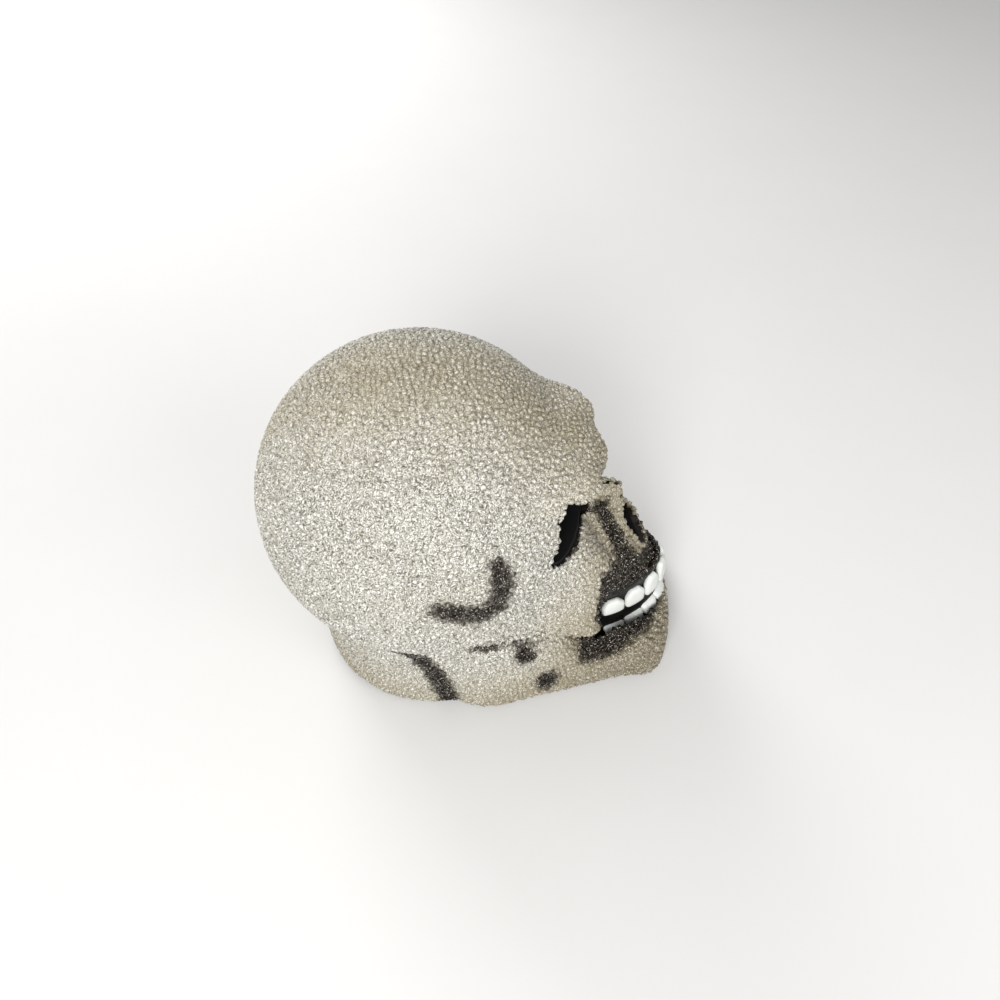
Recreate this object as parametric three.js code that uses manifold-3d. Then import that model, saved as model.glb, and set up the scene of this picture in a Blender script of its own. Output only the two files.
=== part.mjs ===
// A light-up skull decoration: a hollow shell of fused clear granules, lined sockets, a row of
// teeth in each jaw, and a battery light unit let into the flat underside.
// Millimetres. +Z is up, the table is Z = 0, and the face looks along +X.

import * as THREE from 'three';
import { mergeVertices } from 'three/addons/utils/BufferGeometryUtils.js';
import Module from 'manifold-3d';

const wasm = await Module();
wasm.setup();

// Overall sizes
const skullLength = 163;
const skullHeight = 138.2;

// Fits
const clearance = 0.3;
const overrun = 2;
const mergeReach = 0.00001;
const roundSides = 32;
const smallSides = 12;

// Cranium, a ball that also sets the back and the top of the skull
const craniumRadius = 60.2;
const craniumHalfWidth = 59.6;
const craniumX = craniumRadius - skullLength / 2;
const craniumZ = skullHeight - craniumRadius;

// Brow lobes, one over each eye with a rounded end, and the swelling between them
const brow = { x: 24.5, y: 17, z: 103, long: 16.5, wide: 13.5, tall: 7.5, blend: 8 };
const browEnd = { x: 33.8, y: 18, z: 98.5, long: 8, wide: 8, tall: 7, blend: 5 };
const glabella = { x: 27, z: 97.5, long: 19, wide: 16, tall: 13.5, blend: 8 };

// Nose: a blunt bridge whose front leans back, which widens downwards, over a round base
const noseFront = { x: 55, z: 80, lean: 4 };
const noseTop = 85;
const noseHalfWidth = 5.5;
const noseSpread = 14;
const noseRounding = 7;
const noseTopRounding = 4.2;
const noseBack = 30;
const noseBottom = 40;
const noseEndRounding = 5;
const noseBlend = 5;
const noseBase = { x: 50, y: 0, z: 52, long: 17, wide: 15, tall: 17, blend: 5 };

// Front of the cheek beside the nose, a lobe that leans back by maxillaLean degrees
const maxilla = { x: 35, y: 21, z: 57, long: 13, wide: 12, tall: 20, blend: 10 };
const maxillaLean = 20;

// Top and back of the muzzle, the swelling that the teeth stand on; its top slopes up to the nose
const muzzleTopX = 72.8;
const muzzleTopZ = 44.2;
const muzzleTopSlope = 29;
const muzzleBack = 10;
const muzzleRounding = 9;
const muzzleBlend = 8;

// Cheek slab: its tip, the lean of its faces in degrees, and its roundings
const cheekTip = { x: 47.5, y: 38.5, z: 33 };
const cheekBack = -20;
const cheekTop = 90;
const cheekSideLean = 7;
const cheekFrontLean = 26;
const cheekFrontTurn = 9;
const cheekUnderSlope = 20;
const cheekUnderZ = 26.5;
const cheekRounding = 8.5;
const cheekBlend = 12;

// Neck, a short upright drum under the back of the cranium
const neckRadius = 49;
const neckX = -20;
const neckTop = 46;
const neckRounding = 6;

// Jaw: a wedge in plan from its angle to the chin, a little fuller beside the chin. Its top is a low
// ledge in front and rises under the cheek.
const jawAngle = { x: 4, y: 51.9 };
const chinCorner = { x: 78, y: 32.3 };
const chinCornerTurn = 31;
const chinCurve = 110;
const chinLean = 3;
const chinSwell = { x: 72, run: 9, out: 2.4 };
const jawBack = -6;
const jawTopX = 75;
const jawTopZ = 22;
const jawTopSlope = 20;
const ledgeZ = 21;
const ledgeSlope = -6;
const ledgeBack = 38;
const ledgeBackShare = 0.6;
const ledgeRounding = 14;
const ledgeBlend = 12;
const jawRounding = 5;
const jawTopRounding = 7;
const jawBackRounding = 14;
const jawBlend = 10;
const lowBlend = 4;

// Shell wall, and the point that every wall faces
const wall = 6;
const heart = { x: -5, y: 0, z: 60 };
const outerDetail = 14;
const innerDetail = 8;
const rimDetail = 9;

// Eye sockets: the axis turns out by socketTurn degrees. The corners are shares of the width across
// the axis and of the height, counted from the socket's middle.
const socketTurn = 25;
const socketAcross = 5.25;
const socketZ = 88.5;
const socketWidth = 30.5;
const socketHeight = 26;
const socketCornerShares = [
  [-0.5, 0.02],
  [-0.5, 0.31],
  [-0.24, 0.46],
  [0.12, 0.56],
  [0.33, 0.62],
  [0.38, 0.3],
  [0.44, 0.06],
  [0.6, -0.17],
  [0.54, -0.32],
  [0.28, -0.38],
  [-0.08, -0.33],
  [-0.38, -0.24],
];
const socketSteps = 36;
const socketFloor = 24;
const linerWall = 1.4;
const linerSetback = 1.2;
const noseLinerSetback = 3.6;

// Nose opening, straight ahead, with its corners as shares of its width and height
const nostrilZ = 66.5;
const nostrilWidth = 15;
const nostrilHeight = 33;
const nostrilCornerShares = [
  [0, 0.5],
  [0.08, 0.4],
  [0.13, 0.22],
  [0.3, 0.02],
  [0.54, -0.14],
  [0.58, -0.28],
  [0.44, -0.42],
  [0.2, -0.5],
  [-0.2, -0.5],
  [-0.44, -0.42],
  [-0.58, -0.28],
  [-0.54, -0.14],
  [-0.3, 0.02],
  [-0.13, 0.22],
  [-0.08, 0.4],
];
const nostrilSteps = 30;
const nostrilFloorX = 37;

// Dental arch in plan: a rounded curve whose power makes it a little pointed. The mouth is cut a
// little wider than the teeth, and in front, as far round as mouthEnd, as wide as its own arch.
const dentalArch = { x: 30, reach: 46.6, half: 28, power: 1.8 };
const mouthArch = { x: 30, reach: 48.7, half: 33, power: 1.9 };
const mouthRoom = 1.2;
const mouthEnd = 30.2;
const toothDepth = 2.6;
const gumDepth = 5;
const gumBottom = 13;
const gumTop = 43;
const gumHalfWidth = 25.2;
const toothBacking = 1;
const toothGap = 1.1;
const toothRounding = 2.2;
const upperTeeth = { count: 8, pitch: 10, bottom: 28.6, height: 13.2 };
const lowerTeeth = { count: 8, pitch: 10.1, bottom: 15, height: 6.2 };

// Light unit: a round plug with a flange, on its own upright axis
const unitX = -6;
const baseRecess = 1.5;
const flangeRadius = 40;
const flangeThickness = 2;
const bodyRadius = 36;
const bodyWall = 2;
const floorThickness = 3;
const bodyHeight = 21.5;

// Cells and the bay that holds them
const cellCount = 3;
const cellRadius = 5.25;
const cellLength = 44.5;
const nubLength = 1;
const nubRadius = 1.9;
const cellEdge = 0.5;
const cellPitch = 11.2;
const springLength = 6.6;
const contactThickness = 0.5;
const bayWall = 1.5;
const cellHeadroom = 0.6;

// Contacts and their springs
const contactHeight = 9;
const contactHalfWidth = 4.2;
const tabWidth = 2;
const tabRise = 2;
const springRadius = 2.6;
const springWireRadius = 0.3;
const springCurls = 4;
const curlSteps = 8;
const curlSides = 5;

// Battery door: hinged at one end, held by a screw through a tongue at the other
const doorWidth = 34.4;
const doorThickness = 2.2;
const hingeRadius = 1.7;
const trunnionRadius = 0.9;
const trunnionLength = 1.8;
const doorReach = 47;
const tongueWidth = 10;
const tongueEnd = 7;
const bossRadius = 3.2;

// Screws
const doorScrew = { head: 2.3, headHeight: 1.2, shank: 1.1, length: 5.2 };
const coverScrew = { head: 2.6, headHeight: 1.4, shank: 1.2, length: 18.6 };
const boardScrew = { head: 2.1, headHeight: 1.2, shank: 1, length: 3.9 };
const crossWidth = 0.7;
const crossDepth = 0.7;
const screwSink = 0.2;
const coverScrewX = 17;
const coverScrewY = 26;
const housingBossTop = 16.5;

// Slide switch
const switchY = -26;
const switchLength = 9;
const switchWidth = 4.6;
const switchHeight = 4.2;
const switchStop = 1;
const knobLength = 2.2;
const knobWidth = 2;
const knobStandOut = 1;
const knobRoot = 1.2;
const switchTravel = 3;

// Cover, lens and lamp board
const coverThickness = 2;
const lipHeight = 2;
const lipWall = 1.5;
const lensRadius = 20;
const lensWall = 1.5;
const lensCollar = 2;
const collarWall = 1.5;
const postRadius = 2.4;
const postHeight = 3.2;
const postX = 9.5;
const boardRadius = 13;
const boardThickness = 1.6;
const lampCount = 3;
const lampCircle = 6.2;
const lampRadius = 2.5;
const lampFlangeRadius = 2.9;
const lampFlange = 1;
const lampHeight = 5.4;
const chipSize = 3.4;
const chipHeight = 1.2;
const resistorLength = 5;
const resistorRadius = 0.9;
const resistorY = 8.6;

// Wires inside the light unit
const wireRadius = 0.7;
const wireSides = 8;
const wireHoleRadius = 1.5;
const blackTerminalX = -1;
const whiteTerminalX = 4;
const redRoute = [
  [25.1, 11, 20.2],
  [15, 10.6, 20.2],
  [7.6, 9.9, 20.2],
];
const blackRoute = [
  [-25.3, -12.4, 20.2],
  [-18, -20, 19.4],
  [-8, -24, 14],
  [-1, -26, 9.6],
];
const whiteRoute = [
  [4, -26, 10],
  [4.4, -23.6, 15],
  [3.4, -17, 20.2],
  [1, -11.4, 20.2],
];

// Places worked out from the sizes above
const bayLength = cellLength + springLength + 2 * (contactThickness + 2 * clearance);
const bayWidth = (cellCount - 1) * cellPitch + 2 * cellRadius + 2 * clearance;
const hingeZ = hingeRadius;
const hingeX = -doorReach / 2;
const cellZ = 2 * hingeRadius + clearance + cellRadius;
const bayRoof = cellZ + cellRadius + cellHeadroom;
const coverZ = bodyHeight + clearance;
const coverTop = coverZ + coverThickness;
const boardZ = coverTop + postHeight + clearance;
const tongueX = bodyRadius - bodyWall / 2 - bossRadius;
const bayX = bayLength / 2;
const bayY = bayWidth / 2;
const doorX1 = hingeX + doorReach - hingeRadius;
const tongueX1 = tongueX + tongueEnd / 2;
const openY = doorWidth / 2 + clearance;
const notchZ = hingeZ - trunnionRadius - clearance;
const slotX0 = -knobLength / 2 - clearance;
const slotX1 = knobLength / 2 + switchTravel + clearance;
const switchX = switchTravel / 2;
const switchZ = floorThickness + clearance;
const knobTop = switchZ + knobRoot;
const tabTop = bayRoof + bayWall + tabRise;
const coverScrewPlaces = [
  [coverScrewX, coverScrewY],
  [coverScrewX, -coverScrewY],
  [-coverScrewX, coverScrewY],
  [-coverScrewX, -coverScrewY],
];
const wireHoles = [
  [-lampCircle, postX],
  [lampCircle, postX],
  [0, -postX],
];

// Cells in a row: every other one is turned end for end
const cells = Array.from({ length: cellCount }, (_, i) => {
  const way = i % 2 === 0 ? 1 : -1;
  const free = contactThickness + 2 * clearance;
  return { way, y: (i - (cellCount - 1) / 2) * cellPitch, start: way * (-bayX + free + springLength) };
});

// Solder tabs reach up through the bay's roof beside the first and last cells
const tabPlaces = [
  { x: -bayX, y: cells[0].y },
  { x: bayX, y: cells[cellCount - 1].y },
];

// Colours as seen on the object, unlit
const finish = (color, roughness, metalness = 0) =>
  new THREE.MeshStandardMaterial({ color, roughness, metalness });
const granules = finish(0xcbc7ba, 0.35);
const blackPlastic = finish(0x0b0b0c, 0.7);
const gumBlack = finish(0x141414, 0.3);
const toothWhite = finish(0xe7eae5, 0.25);
const housingWhite = finish(0xd9d8d2, 0.45);
const lensMilk = finish(0xeeeeea, 0.3);
const steel = finish(0xb4b6b8, 0.35, 1);
const nickel = finish(0xc9c6bc, 0.3, 1);
const cellJacket = finish(0x3a4046, 0.4);
const boardGreen = finish(0x2c5a3a, 0.5);
const chipBlack = finish(0x101012, 0.5);
const lampClear = finish(0xf1f2ee, 0.15);
const resistorTan = finish(0xbfa378, 0.5);
const redWire = finish(0xa52522, 0.45);
const blackWire = finish(0x17171a, 0.45);
const whiteWire = finish(0xdedcd4, 0.45);

// A closed geometry as a solid, with its shared points merged and empty faces dropped
function solid(geometry) {
  const bare = geometry.clone();
  bare.deleteAttribute('normal');
  bare.deleteAttribute('uv');
  const merged = mergeVertices(bare, mergeReach);
  const index = merged.index.array;
  const kept = [];
  for (let i = 0; i < index.length; i += 3) {
    const [a, b, c] = [index[i], index[i + 1], index[i + 2]];
    if (a !== b && b !== c && c !== a) kept.push(a, b, c);
  }
  const vertProperties = Float32Array.from(merged.attributes.position.array);
  const triVerts = Uint32Array.from(kept);
  return new wasm.Manifold(new wasm.Mesh({ numProp: 3, vertProperties, triVerts }));
}

function shapeOf(body) {
  const mesh = body.getMesh();
  const geometry = new THREE.BufferGeometry();
  geometry.setAttribute('position', new THREE.BufferAttribute(Float32Array.from(mesh.vertProperties), 3));
  geometry.setIndex(new THREE.BufferAttribute(Uint32Array.from(mesh.triVerts), 1));
  geometry.computeVertexNormals();
  return geometry;
}

const joined = (bodies) => bodies.reduce((whole, body) => whole.add(body));
const cutBy = (body, tools) => tools.reduce((rest, tool) => rest.subtract(tool), body);

function named(name, body, material) {
  const mesh = new THREE.Mesh(body.isBufferGeometry ? body : shapeOf(body), material);
  mesh.name = name;
  return mesh;
}

// Upright drum from z0 to z1
function drum(radius, z0, z1, x = 0, y = 0, sides = roundSides) {
  const geometry = new THREE.CylinderGeometry(radius, radius, z1 - z0, sides);
  geometry.rotateX(Math.PI / 2);
  geometry.translate(x, y, (z0 + z1) / 2);
  return solid(geometry);
}

// Block between two opposite corners
function block(x0, x1, y0, y1, z0, z1) {
  const geometry = new THREE.BoxGeometry(x1 - x0, y1 - y0, z1 - z0);
  geometry.translate((x0 + x1) / 2, (y0 + y1) / 2, (z0 + z1) / 2);
  return solid(geometry);
}

// Upright block about a middle, from half its length and half its width
const blockAbout = (x, halfX, y, halfY, z0, z1) => block(x - halfX, x + halfX, y - halfY, y + halfY, z0, z1);

// Turned piece about Z from a profile of [radius, height] pairs
function turned(profile, sides = roundSides) {
  const points = profile.map(([radius, height]) => new THREE.Vector2(radius, height));
  const geometry = new THREE.LatheGeometry(points, sides);
  geometry.rotateX(Math.PI / 2);
  return geometry;
}

// Flat outline of [x, y] pairs pushed up from z0 to z1
function plate(outline, z0, z1) {
  const shape = new THREE.Shape(outline.map(([x, y]) => new THREE.Vector2(x, y)));
  const geometry = new THREE.ExtrudeGeometry(shape, { depth: z1 - z0, bevelEnabled: false });
  geometry.translate(0, 0, z0);
  return geometry;
}

// Signed gap from a point to a lobe: below zero inside, and close to a distance near its surface
function lobeGap(x, y, z, lobe) {
  const u = x / lobe.long;
  const v = y / lobe.wide;
  const w = z / lobe.tall;
  const reach = Math.hypot(u, v, w);
  const slope = Math.hypot(u / lobe.long, v / lobe.wide, w / lobe.tall);
  return slope > 0 ? (reach * (reach - 1)) / slope : -Math.min(lobe.long, lobe.wide, lobe.tall);
}

// Two gaps melted together, or cut by each other, with a rounding where they meet
function melt(a, b, rounding) {
  const share = Math.max(rounding - Math.abs(a - b), 0) / rounding;
  return Math.min(a, b) - (share * share * rounding) / 4;
}
const trim = (a, b, rounding) => -melt(-a, -b, rounding);

const turn = (degrees) => THREE.MathUtils.degToRad(degrees);
const craniumLobe = { long: craniumRadius, wide: craniumHalfWidth, tall: craniumRadius };
const jawRun = Math.hypot(chinCorner.x - jawAngle.x, jawAngle.y - chinCorner.y);
const jawSideX = (jawAngle.y - chinCorner.y) / jawRun;
const jawSideY = (chinCorner.x - jawAngle.x) / jawRun;

// Gap to an upright wall that follows the dental arch at an inset
function archGap(x, side, inset) {
  const { power } = dentalArch;
  const reach = dentalArch.reach - inset;
  const half = dentalArch.half - inset;
  const u = Math.max(x - dentalArch.x, 0) / reach;
  const v = side / half;
  const norm = Math.pow(Math.pow(u, power) + Math.pow(v, power), 1 / power);
  if (norm === 0) return -half;
  const pull = Math.pow(norm, 1 - power);
  const slope = pull * Math.hypot(Math.pow(u, power - 1) / reach, Math.pow(v, power - 1) / half);
  return (norm - 1) / slope;
}

function muzzleGap(x, side, z) {
  const slope = turn(muzzleTopSlope);
  const top = (x - muzzleTopX) * Math.sin(slope) + (z - muzzleTopZ) * Math.cos(slope);
  const gap = trim(archGap(x, side, toothDepth + clearance), top, muzzleRounding);
  return trim(gap, muzzleBack - x, muzzleRounding);
}

function cheekGap(x, side, z) {
  const lean = turn(cheekSideLean);
  const flank = (side - cheekTip.y) * Math.cos(lean) + (z - cheekTip.z) * Math.sin(lean);
  const front = turn(cheekFrontLean);
  const turned = turn(cheekFrontTurn);
  const ahead = (x - cheekTip.x) * Math.cos(turned) + (side - cheekTip.y) * Math.sin(turned);
  const face = ahead * Math.cos(front) + (z - cheekTip.z) * Math.sin(front);
  const under = turn(cheekUnderSlope);
  const below = -(x - cheekTip.x) * Math.sin(under) - (z - cheekUnderZ) * Math.cos(under);
  let gap = trim(flank, face, cheekRounding);
  gap = trim(gap, below, cheekRounding);
  gap = trim(gap, cheekBack - x, cheekRounding);
  return trim(gap, z - cheekTop, cheekRounding);
}

// A lobe that leans back by an angle in degrees
function leaningGap(x, y, z, lobe, lean) {
  const angle = turn(lean);
  const ahead = (x - lobe.x) * Math.cos(angle) + (z - lobe.z) * Math.sin(angle);
  const above = (z - lobe.z) * Math.cos(angle) - (x - lobe.x) * Math.sin(angle);
  return lobeGap(ahead, y - lobe.y, above, lobe);
}

function noseGap(x, side, z) {
  const lean = turn(noseFront.lean);
  const spread = turn(noseSpread);
  const front = (x - noseFront.x) * Math.cos(lean) + (z - noseFront.z) * Math.sin(lean);
  const flank = (side - noseHalfWidth) * Math.cos(spread) + (z - noseFront.z) * Math.sin(spread);
  const gap = trim(trim(front, z - noseTop, noseTopRounding), flank, noseRounding);
  return trim(trim(gap, noseBack - x, noseEndRounding), noseBottom - z, noseEndRounding);
}

// Slope of the jaw's top: a low ledge in front of ledgeBack, and the rise behind it
function jawTopGap(x, z) {
  const slope = turn(jawTopSlope);
  const rise = (x - jawTopX) * Math.sin(slope) + (z - jawTopZ) * Math.cos(slope);
  const level = turn(ledgeSlope);
  const ledge = (x - jawTopX) * Math.sin(level) + (z - ledgeZ) * Math.cos(level);
  return melt(ledge, trim(rise, (x - ledgeBack) * ledgeBackShare, ledgeRounding), ledgeBlend);
}

function jawGap(x, side, z) {
  const swell = chinSwell.out * Math.exp(-(((x - chinSwell.x) / chinSwell.run) ** 2));
  const flank = (x - jawAngle.x) * jawSideX + (side - jawAngle.y) * jawSideY - swell;
  const corner = turn(chinCornerTurn);
  const back = z * Math.tan(turn(chinLean));
  const chin = (x - chinCorner.x) * Math.cos(corner) + (side - chinCorner.y) * Math.sin(corner);
  const front = Math.hypot(x - skullLength / 2 + chinCurve, side) - chinCurve;
  let gap = trim(flank, chin + back, jawRounding);
  gap = trim(gap, front + back, jawRounding);
  gap = trim(gap, jawBack - x, jawBackRounding);
  return trim(gap, jawTopGap(x, z), jawTopRounding);
}

// Gap to the whole skull form. The neck and jaw run on below the table, where the shell is cut flat.
function skullGap(x, y, z) {
  const side = Math.abs(y);
  let gap = lobeGap(x - craniumX, y, z - craniumZ, craniumLobe);
  gap = melt(gap, cheekGap(x, side, z), cheekBlend);
  gap = melt(gap, muzzleGap(x, side, z), muzzleBlend);
  gap = melt(gap, leaningGap(x, side, z, maxilla, maxillaLean), maxilla.blend);
  gap = melt(gap, leaningGap(x, y, z, noseBase, 0), noseBase.blend);
  gap = melt(gap, noseGap(x, side, z), noseBlend);
  gap = melt(gap, lobeGap(x - brow.x, side - brow.y, z - brow.z, brow), brow.blend);
  gap = melt(gap, lobeGap(x - glabella.x, y, z - glabella.z, glabella), glabella.blend);
  gap = melt(gap, lobeGap(x - browEnd.x, side - browEnd.y, z - browEnd.z, browEnd), browEnd.blend);
  const neck = trim(Math.hypot(x - neckX, y) - neckRadius, z - neckTop, neckRounding);
  const low = melt(neck, jawGap(x, side, z), jawBlend);
  return melt(gap, trim(low, -z - wall, lowBlend), lowBlend);
}

// The skull form drawn in by inset, as a ball of faces pushed out from the heart to the surface
function skullForm(inset, detail) {
  const geometry = new THREE.IcosahedronGeometry(1, detail);
  const place = geometry.attributes.position;
  const ray = new THREE.Vector3();
  const close = clearance / 20;
  for (let i = 0; i < place.count; i += 1) {
    ray.fromBufferAttribute(place, i).normalize();
    let reach = skullLength;
    let gap = reach;
    while (gap > close) {
      gap = skullGap(heart.x + ray.x * reach, heart.y + ray.y * reach, heart.z + ray.z * reach) + inset;
      reach -= gap * 0.8;
    }
    place.setXYZ(i, heart.x + ray.x * reach, heart.y + ray.y * reach, heart.z + ray.z * reach);
  }
  return solid(geometry);
}

// An outline drawn in towards its middle by a distance
function drawnIn(outline, distance) {
  const middle = [0, 1].map((k) => outline.reduce((sum, p) => sum + p[k], 0) / outline.length);
  return outline.map(([a, b]) => {
    const span = Math.hypot(a - middle[0], b - middle[1]);
    const share = 1 - distance / span;
    return [middle[0] + (a - middle[0]) * share, middle[1] + (b - middle[1]) * share];
  });
}

// A smooth closed outline through corners given as shares of a width and a height about a middle
function smoothed(shares, across, z, width, height, steps) {
  const corners = shares.map(([a, b]) => new THREE.Vector3(across + a * width, z + b * height, 0));
  const curve = new THREE.CatmullRomCurve3(corners, true);
  return curve.getPoints(steps).slice(0, -1).map((p) => [p.x, p.y]);
}

const socketOutline = smoothed(
  socketCornerShares, socketAcross, socketZ, socketWidth, socketHeight, socketSteps,
);
const nostrilOutline = smoothed(
  nostrilCornerShares, 0, nostrilZ, nostrilWidth, nostrilHeight, nostrilSteps,
);

// Prism along a level axis that turns out by angle, from depth a to depth b
function tunnel(outline, angle, a, b, side = 1) {
  const geometry = plate(outline.map(([across, height]) => [across * side, height]), a, b);
  const axis = new THREE.Vector3(Math.cos(angle), Math.sin(angle) * side, 0);
  const across = new THREE.Vector3(-Math.sin(angle) * side, Math.cos(angle), 0);
  const up = new THREE.Vector3(0, 0, 1);
  geometry.applyMatrix4(new THREE.Matrix4().makeBasis(across, up, axis));
  return solid(geometry);
}

// A cup that lines an opening: clear of its sides, closed at its floor, set back from the surface
function liner(outline, angle, floor, rimForm, side = 1) {
  const outside = drawnIn(outline, clearance);
  const inside = drawnIn(outline, clearance + linerWall);
  const cup = tunnel(outside, angle, floor, skullLength, side)
    .subtract(tunnel(inside, angle, floor + linerWall, skullLength, side));
  return cup.intersect(rimForm);
}

// Point of an arch at a plan angle, drawn in by inset
function archPoint(angle, inset, arch = dentalArch) {
  const across = Math.sin(angle);
  const ahead = Math.cos(angle);
  const power = 2 / arch.power;
  const x = arch.x + (arch.reach - inset) * Math.pow(Math.abs(ahead), power);
  const y = (arch.half - inset) * Math.sign(across) * Math.pow(Math.abs(across), power);
  return [x, y];
}

// Line of an arch at an inset, as far round as a half width
function archLine(inset, halfWidth, arch = dentalArch) {
  const steps = 24;
  const end = Math.asin(Math.pow(halfWidth / arch.half, arch.power / 2));
  return Array.from({ length: steps + 1 }, (_, i) => archPoint(end * (2 * i / steps - 1), inset, arch));
}

// Band of the dental arch between two insets
function archBand(outer, inner, halfWidth, z0, z1) {
  return solid(plate([...archLine(outer, halfWidth), ...archLine(inner, halfWidth).reverse()], z0, z1));
}

// Places spread along the arch: each has its point and the way it faces
function archPlaces(count, pitch) {
  const samples = 400;
  const half = Math.PI / 2;
  const run = [{ length: 0, angle: 0 }];
  for (let i = 1; i <= samples; i += 1) {
    const [x0, y0] = archPoint(half * (i - 1) / samples, 0);
    const [x1, y1] = archPoint(half * i / samples, 0);
    run.push({ length: run[i - 1].length + Math.hypot(x1 - x0, y1 - y0), angle: half * i / samples });
  }
  return Array.from({ length: count }, (_, i) => {
    const along = (i - (count - 1) / 2) * pitch;
    const angle = run.find((place) => place.length >= Math.abs(along)).angle * Math.sign(along);
    const step = half / samples;
    const [x, y] = archPoint(angle, 0);
    const [xa, ya] = archPoint(angle - step, 0);
    const [xb, yb] = archPoint(angle + step, 0);
    return { x, y, facing: Math.atan2(yb - ya, xb - xa) - half };
  });
}

// Front outline of one tooth, a block with rounded corners
function toothGeometry(width, height) {
  const shape = new THREE.Shape();
  const r = toothRounding;
  const [x, y] = [width / 2, height / 2];
  shape.moveTo(-x + r, -y);
  shape.lineTo(x - r, -y);
  shape.absarc(x - r, -y + r, r, -Math.PI / 2, 0);
  shape.absarc(x - r, y - r, r, 0, Math.PI / 2);
  shape.absarc(-x + r, y - r, r, Math.PI / 2, Math.PI);
  shape.absarc(-x + r, -y + r, r, Math.PI, 1.5 * Math.PI);
  const depth = toothDepth - toothBacking / 2;
  const geometry = new THREE.ExtrudeGeometry(shape, { depth, bevelEnabled: false, curveSegments: 2 });
  const toFront = new THREE.Matrix4().makeBasis(
    new THREE.Vector3(0, 1, 0),
    new THREE.Vector3(0, 0, 1),
    new THREE.Vector3(1, 0, 0),
  );
  geometry.applyMatrix4(toFront);
  geometry.translate(-depth, 0, 0);
  return geometry;
}

// One jaw's teeth, joined by the thin strip that they stand on
function toothRow(row) {
  const middle = row.bottom + row.height / 2;
  const teeth = archPlaces(row.count, row.pitch).map((place) => {
    const geometry = toothGeometry(row.pitch - toothGap, row.height);
    geometry.rotateZ(place.facing);
    geometry.translate(place.x, place.y, middle);
    return solid(geometry);
  });
  const strip = archBand(toothDepth - toothBacking, toothDepth, gumHalfWidth, row.bottom + toothRounding,
    row.bottom + row.height - toothRounding);
  return joined([strip, ...teeth]);
}

// Shell, with the light unit's seat, the sockets and the mouth cut out of it
function shellBody() {
  const far = 2 * skullLength;
  const outer = skullForm(0, outerDetail).intersect(block(-far, far, -far, far, 0, far));
  const cavity = skullForm(wall, innerDetail).intersect(block(-far, far, -far, far, wall, far));
  const seatDepth = baseRecess + flangeThickness + clearance;
  return cutBy(outer, [
    cavity,
    drum(bodyRadius + clearance, -overrun, wall + overrun, unitX),
    drum(flangeRadius + clearance, -overrun, seatDepth, unitX),
    tunnel(socketOutline, turn(socketTurn), socketFloor, skullLength),
    tunnel(socketOutline, turn(socketTurn), socketFloor, skullLength, -1),
    tunnel(nostrilOutline, 0, nostrilFloorX, skullLength),
    mouthHollow(),
  ]);
}

// What the shell gives up to the mouth: room for the teeth and the gum, and wider in front
function mouthHollow() {
  const bottom = gumBottom - clearance;
  const top = gumTop + clearance;
  const rear = toothDepth + gumDepth + 2 * clearance;
  const seat = archBand(-mouthRoom, rear, gumHalfWidth + overrun, bottom, top);
  const behind = solid(plate(archLine(rear, dentalArch.half), bottom - overrun, top + overrun));
  const front = solid(plate(archLine(0, mouthEnd, mouthArch), bottom, top));
  return seat.add(front.subtract(behind));
}

// Screw with its head down at zero and its shank up, with a cross in the head
function screwBody(screw) {
  const point = screw.shank / 2;
  const top = screw.headHeight + screw.length;
  const profile = [
    [0, 0],
    [screw.head * 0.8, 0],
    [screw.head, screw.headHeight / 2],
    [screw.head, screw.headHeight],
    [screw.shank, screw.headHeight],
    [screw.shank, top - point],
    [point, top],
    [0, top],
  ];
  const arm = screw.head * 0.6;
  return cutBy(solid(turned(profile, smallSides)), [
    block(-arm, arm, -crossWidth / 2, crossWidth / 2, -overrun, crossDepth),
    block(-crossWidth / 2, crossWidth / 2, -arm, arm, -overrun, crossDepth),
  ]);
}

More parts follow.
